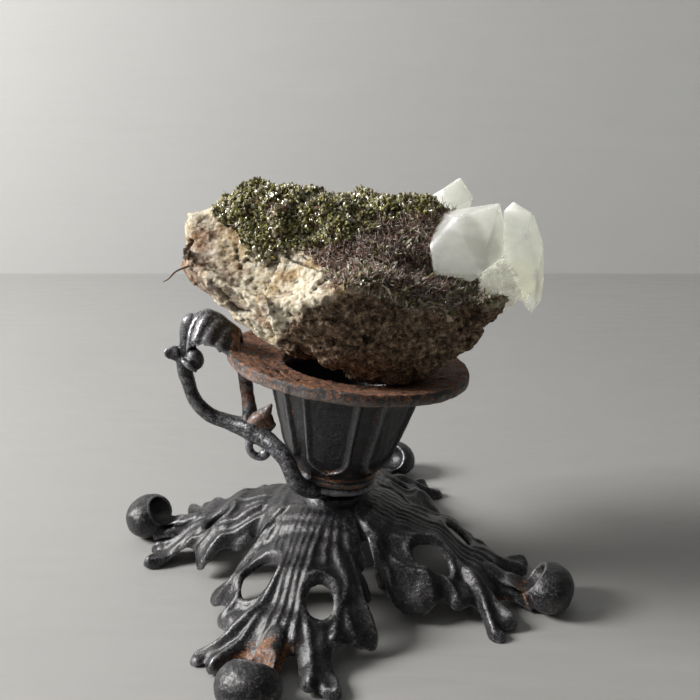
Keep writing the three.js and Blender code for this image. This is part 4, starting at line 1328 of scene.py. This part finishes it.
def needles(at, frames, lengths, widths, dice):
    """Thin curved three-sided fibres."""
    points, faces = [], []
    rows = NEEDLE_ROWS
    section = np.array([(math.cos(a), math.sin(a)) for a in (0, 2.1, 4.2)])
    for origin, turn, length, width in zip(at, frames, lengths, widths):
        start = len(points) * rows * 3
        bend = dice.uniform(-0.5, 0.5) * length
        rings = []
        for k in range(rows):
            s = k / (rows - 1)
            middle = np.array([bend * s * s, 0, length * (s - 0.12)])
            rings.append(np.c_[section * width * (1 - 0.75 * s), np.zeros(3)] + middle)
        points.append(origin + np.vstack(rings) @ turn.T)
        for k in range(rows - 1):
            for j in range(3):
                a, b = start + 3 * k + j, start + 3 * k + (j + 1) % 3
                faces.append((a, b, b + 3, a + 3))
        faces.append((start + 2, start + 1, start))
        faces.append((start + 3 * rows - 3, start + 3 * rows - 2, start + 3 * rows - 1))
    return np.vstack(points), faces


def druse_weight(points, normals):
    """Where the green crust grows: over the top and down the front to its ragged edge."""
    x, y, z = points.T
    ragged = 1.6 * fractal(points, 6, 3, 40)
    front = step(-1.2, 1.2, z - read(DRUSE_EDGE, x) + ragged)
    back = step(22, 12, y + 1.5 * ragged)
    sides = step(-35, -29, x + ragged) * step(29, 24, x + ragged)
    up = step(-0.35, 0.1, normals[:, 2])
    return front * back * sides * up


def hollow_weight(points, normals):
    """The fibrous hollow between the green crust and the crest."""
    x, y, z = points.T
    ragged = 1.2 * fractal(points, 5, 3, 41)
    over = step(-1.0, 1.0, z - read(HOLLOW_EDGE, x) + ragged)
    below = step(1.5, -1.0, z - read(DRUSE_EDGE, x) + ragged)
    sides = step(-9, -5, x + ragged) * step(42, 34, x)
    return over * below * sides * step(8, 0, y)


def make_druse(rock):
    dice = random.Random(11)
    normals = rock.normals()
    weight = druse_weight(rock.points, normals)
    clumps = 0.12 + 0.88 * step(-0.3, 0.2, fractal(rock.points, 3.4, 2, 42))
    at, out = scattered(rock, weight * clumps, DRUSE_BLADES, dice)
    lean_up = out + [0, 0, 0.3]
    tall = 0.75 + 0.45 * fractal(at, 4.5, 2, 43)
    lengths = [share * dice.uniform(1.2, 3.2) for share in tall]
    widths = [dice.uniform(0.32, 0.7) for _ in at]
    points, faces = blades(at, frames_on(lean_up, dice, 0.7), lengths, widths)
    tints = np.repeat([dice.random() ** 1.6 for _ in at], len(BLADE))
    druse = Skin(points, faces).make("green_druse_blades", smooth=False, tint=tints)
    place_piece(druse, "specimen", "green_druse", druse_material(), "green_druse")
    few = hollow_weight(rock.points, normals) * (0.2 + 1.5 * step(1, 9, rock.points[:, 0]))
    few = few * (0.25 + step(5, 1, rock.points[:, 2] - read(HOLLOW_EDGE, rock.points[:, 0])))
    at, out = scattered(rock, few, HOLLOW_BLADES, dice)
    lengths = [dice.uniform(1.4, 3.2) for _ in at]
    widths = [dice.uniform(0.22, 0.42) for _ in at]
    points, faces = blades(at, frames_on(0.6 * out, dice, 0.7), lengths, widths)
    tints = np.repeat([0.3 + 0.7 * dice.random() for _ in at], len(BLADE))
    loose = Skin(points, faces).make("grey_green_blades", smooth=False, tint=tints)
    place_piece(loose, "specimen", "green_druse", druse.data.materials[0])


def make_fibres(rock):
    dice = random.Random(12)
    normals = rock.normals()
    weight = hollow_weight(rock.points, normals) + 0.1 * druse_weight(rock.points, normals)
    at, out = scattered(rock, weight, FIBRES, dice)
    lengths = [dice.uniform(0.9, 3.2) for _ in at]
    widths = [dice.uniform(0.08, 0.22) for _ in at]
    points, faces = needles(at + 0.25 * out, frames_on(0.2 * out, dice, 0.8), lengths, widths, dice)
    tints = np.repeat([dice.random() for _ in at], 3 * NEEDLE_ROWS)
    mat = Skin(points, faces).make("fibre_felt", tint=tints)
    place_piece(mat, "specimen", "brown_fibre", fibre_material(), "fibre_mat")


def make_strand():
    """One loose root fibre that sticks out of the left end."""
    path = spline([(-34.6, -11, 91.6), (-37.4, -13, 90.8), (-39.2, -14, 89.2), (-40.4, -14.4, 88.6)], 24)
    points, faces = tube(path, [0.3, 0.24, 0.26, 0.12], 8)
    strand = Skin(points, faces).make("loose_root_fibre", tint=np.zeros(len(points)))
    place_piece(strand, "specimen", "brown_fibre", bpy.data.materials["brown_fibre"])


CRYSTALS = {
    "quartz_main": [(24.4, -12, 90), (23.4, -10, 96.4), (29, -9, 102.8), (40.3, -6, 105.9),
                    (35.4, -13.4, 90.4), (42.4, -4, 99.8), (42.2, -5, 92.6), (27, 5, 101.5), (37.6, 6, 103),
                    (41.6, 6, 93), (25, 6, 90), (34, -8, 86.6), (28, -4, 85)],
    "quartz_right": [(44.4, -1, 105.4), (41.8, -2.8, 103.4), (49.2, -3, 102.8), (52.6, -2, 94.6),
                     (53.4, -1, 85.6), (53.3, 0, 79.6), (50.6, -3, 77.2), (45.6, -8, 85.8), (41.6, -7.2, 93),
                     (47, -7, 98.4), (50, -7.6, 88), (50.4, -6, 80), (44.8, 5, 100), (50.6, 5, 97.6),
                     (52.2, 6, 87), (46.6, 6, 81)],
    "quartz_back": [(33, 14, 109), (26, 14, 104.4), (27.6, 11, 106), (36.6, 13, 103.8),
                    (30.4, 9.4, 101.4), (35.6, 19, 103), (27, 19, 103), (28.6, 12, 96), (34, 13, 96),
                    (30, 18, 95)],
    "quartz_root": [(35, -9.6, 84.8), (37, -9.6, 89), (42, -8.6, 91.4), (45.4, -8.4, 86.4),
                    (47.4, -6, 82), (43, -9, 80.4), (40, 3, 90), (46, 3, 84), (38, 3, 79.6)],
    "quartz_small_right": [(48.6, -8.6, 84.4), (50.4, -9.2, 82), (49.2, -9.4, 79), (47.2, -8.8, 81),
                           (48.4, -4.6, 81.6)],
    "quartz_small_front": [(26.9, -18.6, 82.2), (28.1, -19.4, 81.4), (29.0, -18.4, 80.0),
                           (27.3, -18.2, 79.6), (27.8, -15.4, 80.6)],
}


def crystal_mesh(name, corners, arris):
    """Convex crystal with narrow rounded arrises."""
    bm = bmesh.new()
    for corner in corners:
        bm.verts.new(corner)
    bmesh.ops.convex_hull(bm, input=bm.verts[:])
    loose = [v for v in bm.verts if not v.link_faces]
    bmesh.ops.delete(bm, geom=loose, context="VERTS")
    bmesh.ops.dissolve_limit(bm, angle_limit=math.radians(4), verts=bm.verts[:], edges=bm.edges[:])
    if arris:
        bmesh.ops.bevel(bm, geom=bm.edges[:], offset=arris, segments=2, affect="EDGES", profile=0.6)
    bmesh.ops.triangulate(bm, faces=bm.faces[:])
    mesh = bpy.data.meshes.new(name)
    bm.to_mesh(mesh)
    bm.free()
    points = np.array([v.co[:] for v in mesh.vertices])
    faces = [tuple(p.vertices) for p in mesh.polygons]
    bpy.data.meshes.remove(mesh)
    return points, faces


def subdivided(points, faces, length):
    """Splits long edges so that relief and masks have points to act on."""
    bm = bmesh.new()
    verts = [bm.verts.new(p) for p in points]
    for f in faces:
        bm.faces.new([verts[i] for i in f])
    for _ in range(6):
        long_edges = [e for e in bm.edges if e.calc_length() > length]
        if not long_edges:
            break
        bmesh.ops.subdivide_edges(bm, edges=long_edges, cuts=1)
        bmesh.ops.triangulate(bm, faces=[f for f in bm.faces if len(f.verts) > 3])
    mesh = bpy.data.meshes.new("split")
    bm.to_mesh(mesh)
    bm.free()
    out = np.array([v.co[:] for v in mesh.vertices]), [tuple(p.vertices) for p in mesh.polygons]
    bpy.data.meshes.remove(mesh)
    return out


def make_quartz():
    clear = quartz_material("milky_quartz", milk=0.35)
    golden = quartz_material("milky_quartz_golden", milk=0.35, yellow=0.85)
    sugar = sugar_material()
    rocky = bpy.data.materials["matrix_rock"]
    for name, corners in CRYSTALS.items():
        if name == "quartz_root":
            continue
        arris = 0.3 if len(corners) > 8 else 0.15
        skin = Skin(*subdivided(*crystal_mesh(name, corners, arris=arris), 0.9))
        edge = skin.ridges(3)
        p = skin.points
        skin.push(0.05 * fractal(p, 4, 2, 50) + 0.02 * fractal(p, 0.8, 2, 51))
        low = step(95, 84, p[:, 2])
        thing = skin.make(f"{name}_crystal", ridge=edge * 5, low=low)
        material = {"quartz_right": golden, "quartz_small_front": rocky}.get(name, clear)
        place_piece(thing, "specimen", "milky_quartz", material, name)
    dice = random.Random(13)
    skin = Skin(*fused([crystal_mesh("root", CRYSTALS["quartz_root"], arris=0)], 0.32))
    p = skin.points
    skin.push(0.5 * fractal(p, 3.5, 3, 52) + 0.3 * fractal(p, 1.1, 3, 53))
    grains = np.array([dice.random() for _ in range(len(skin.points))])
    skin.push(0.12 * (grains - 0.5))
    p = skin.points
    stain = step(82.5, 80, p[:, 2]) + 0.4 * step(0.2, 0.5, fractal(p, 2.5, 3, 54))
    root = skin.make("quartz_root_crust", smooth=False, stain=stain)
    place_piece(root, "specimen", "milky_quartz", sugar, "quartz_root")
    weight = np.ones(len(p))
    at, out = scattered(skin, weight, ROOT_POINTS, dice)
    turns = frames_on(out + [0, 0, 0.2], dice, 0.5)
    lengths = [dice.uniform(0.6, 1.8) for _ in at]
    widths = [dice.uniform(0.2, 0.5) for _ in at]
    points, faces = blades(at, turns, lengths, widths)
    tips = Skin(points, faces).make("quartz_root_points", smooth=False, stain=np.zeros(len(points)))
    place_piece(tips, "specimen", "milky_quartz", sugar)


# ------------------------------------------------------------------ build
make_camera()
make_light()
make_stage()
make_base()
make_cup()
make_pan()
make_vine()
make_inner_stem()
make_thumb_leaf()
make_thorn_leaf()
make_tendril()
make_hardware()
rock_skin = make_rock()
make_druse(rock_skin)
make_fibres(rock_skin)
make_strand()
make_quartz()
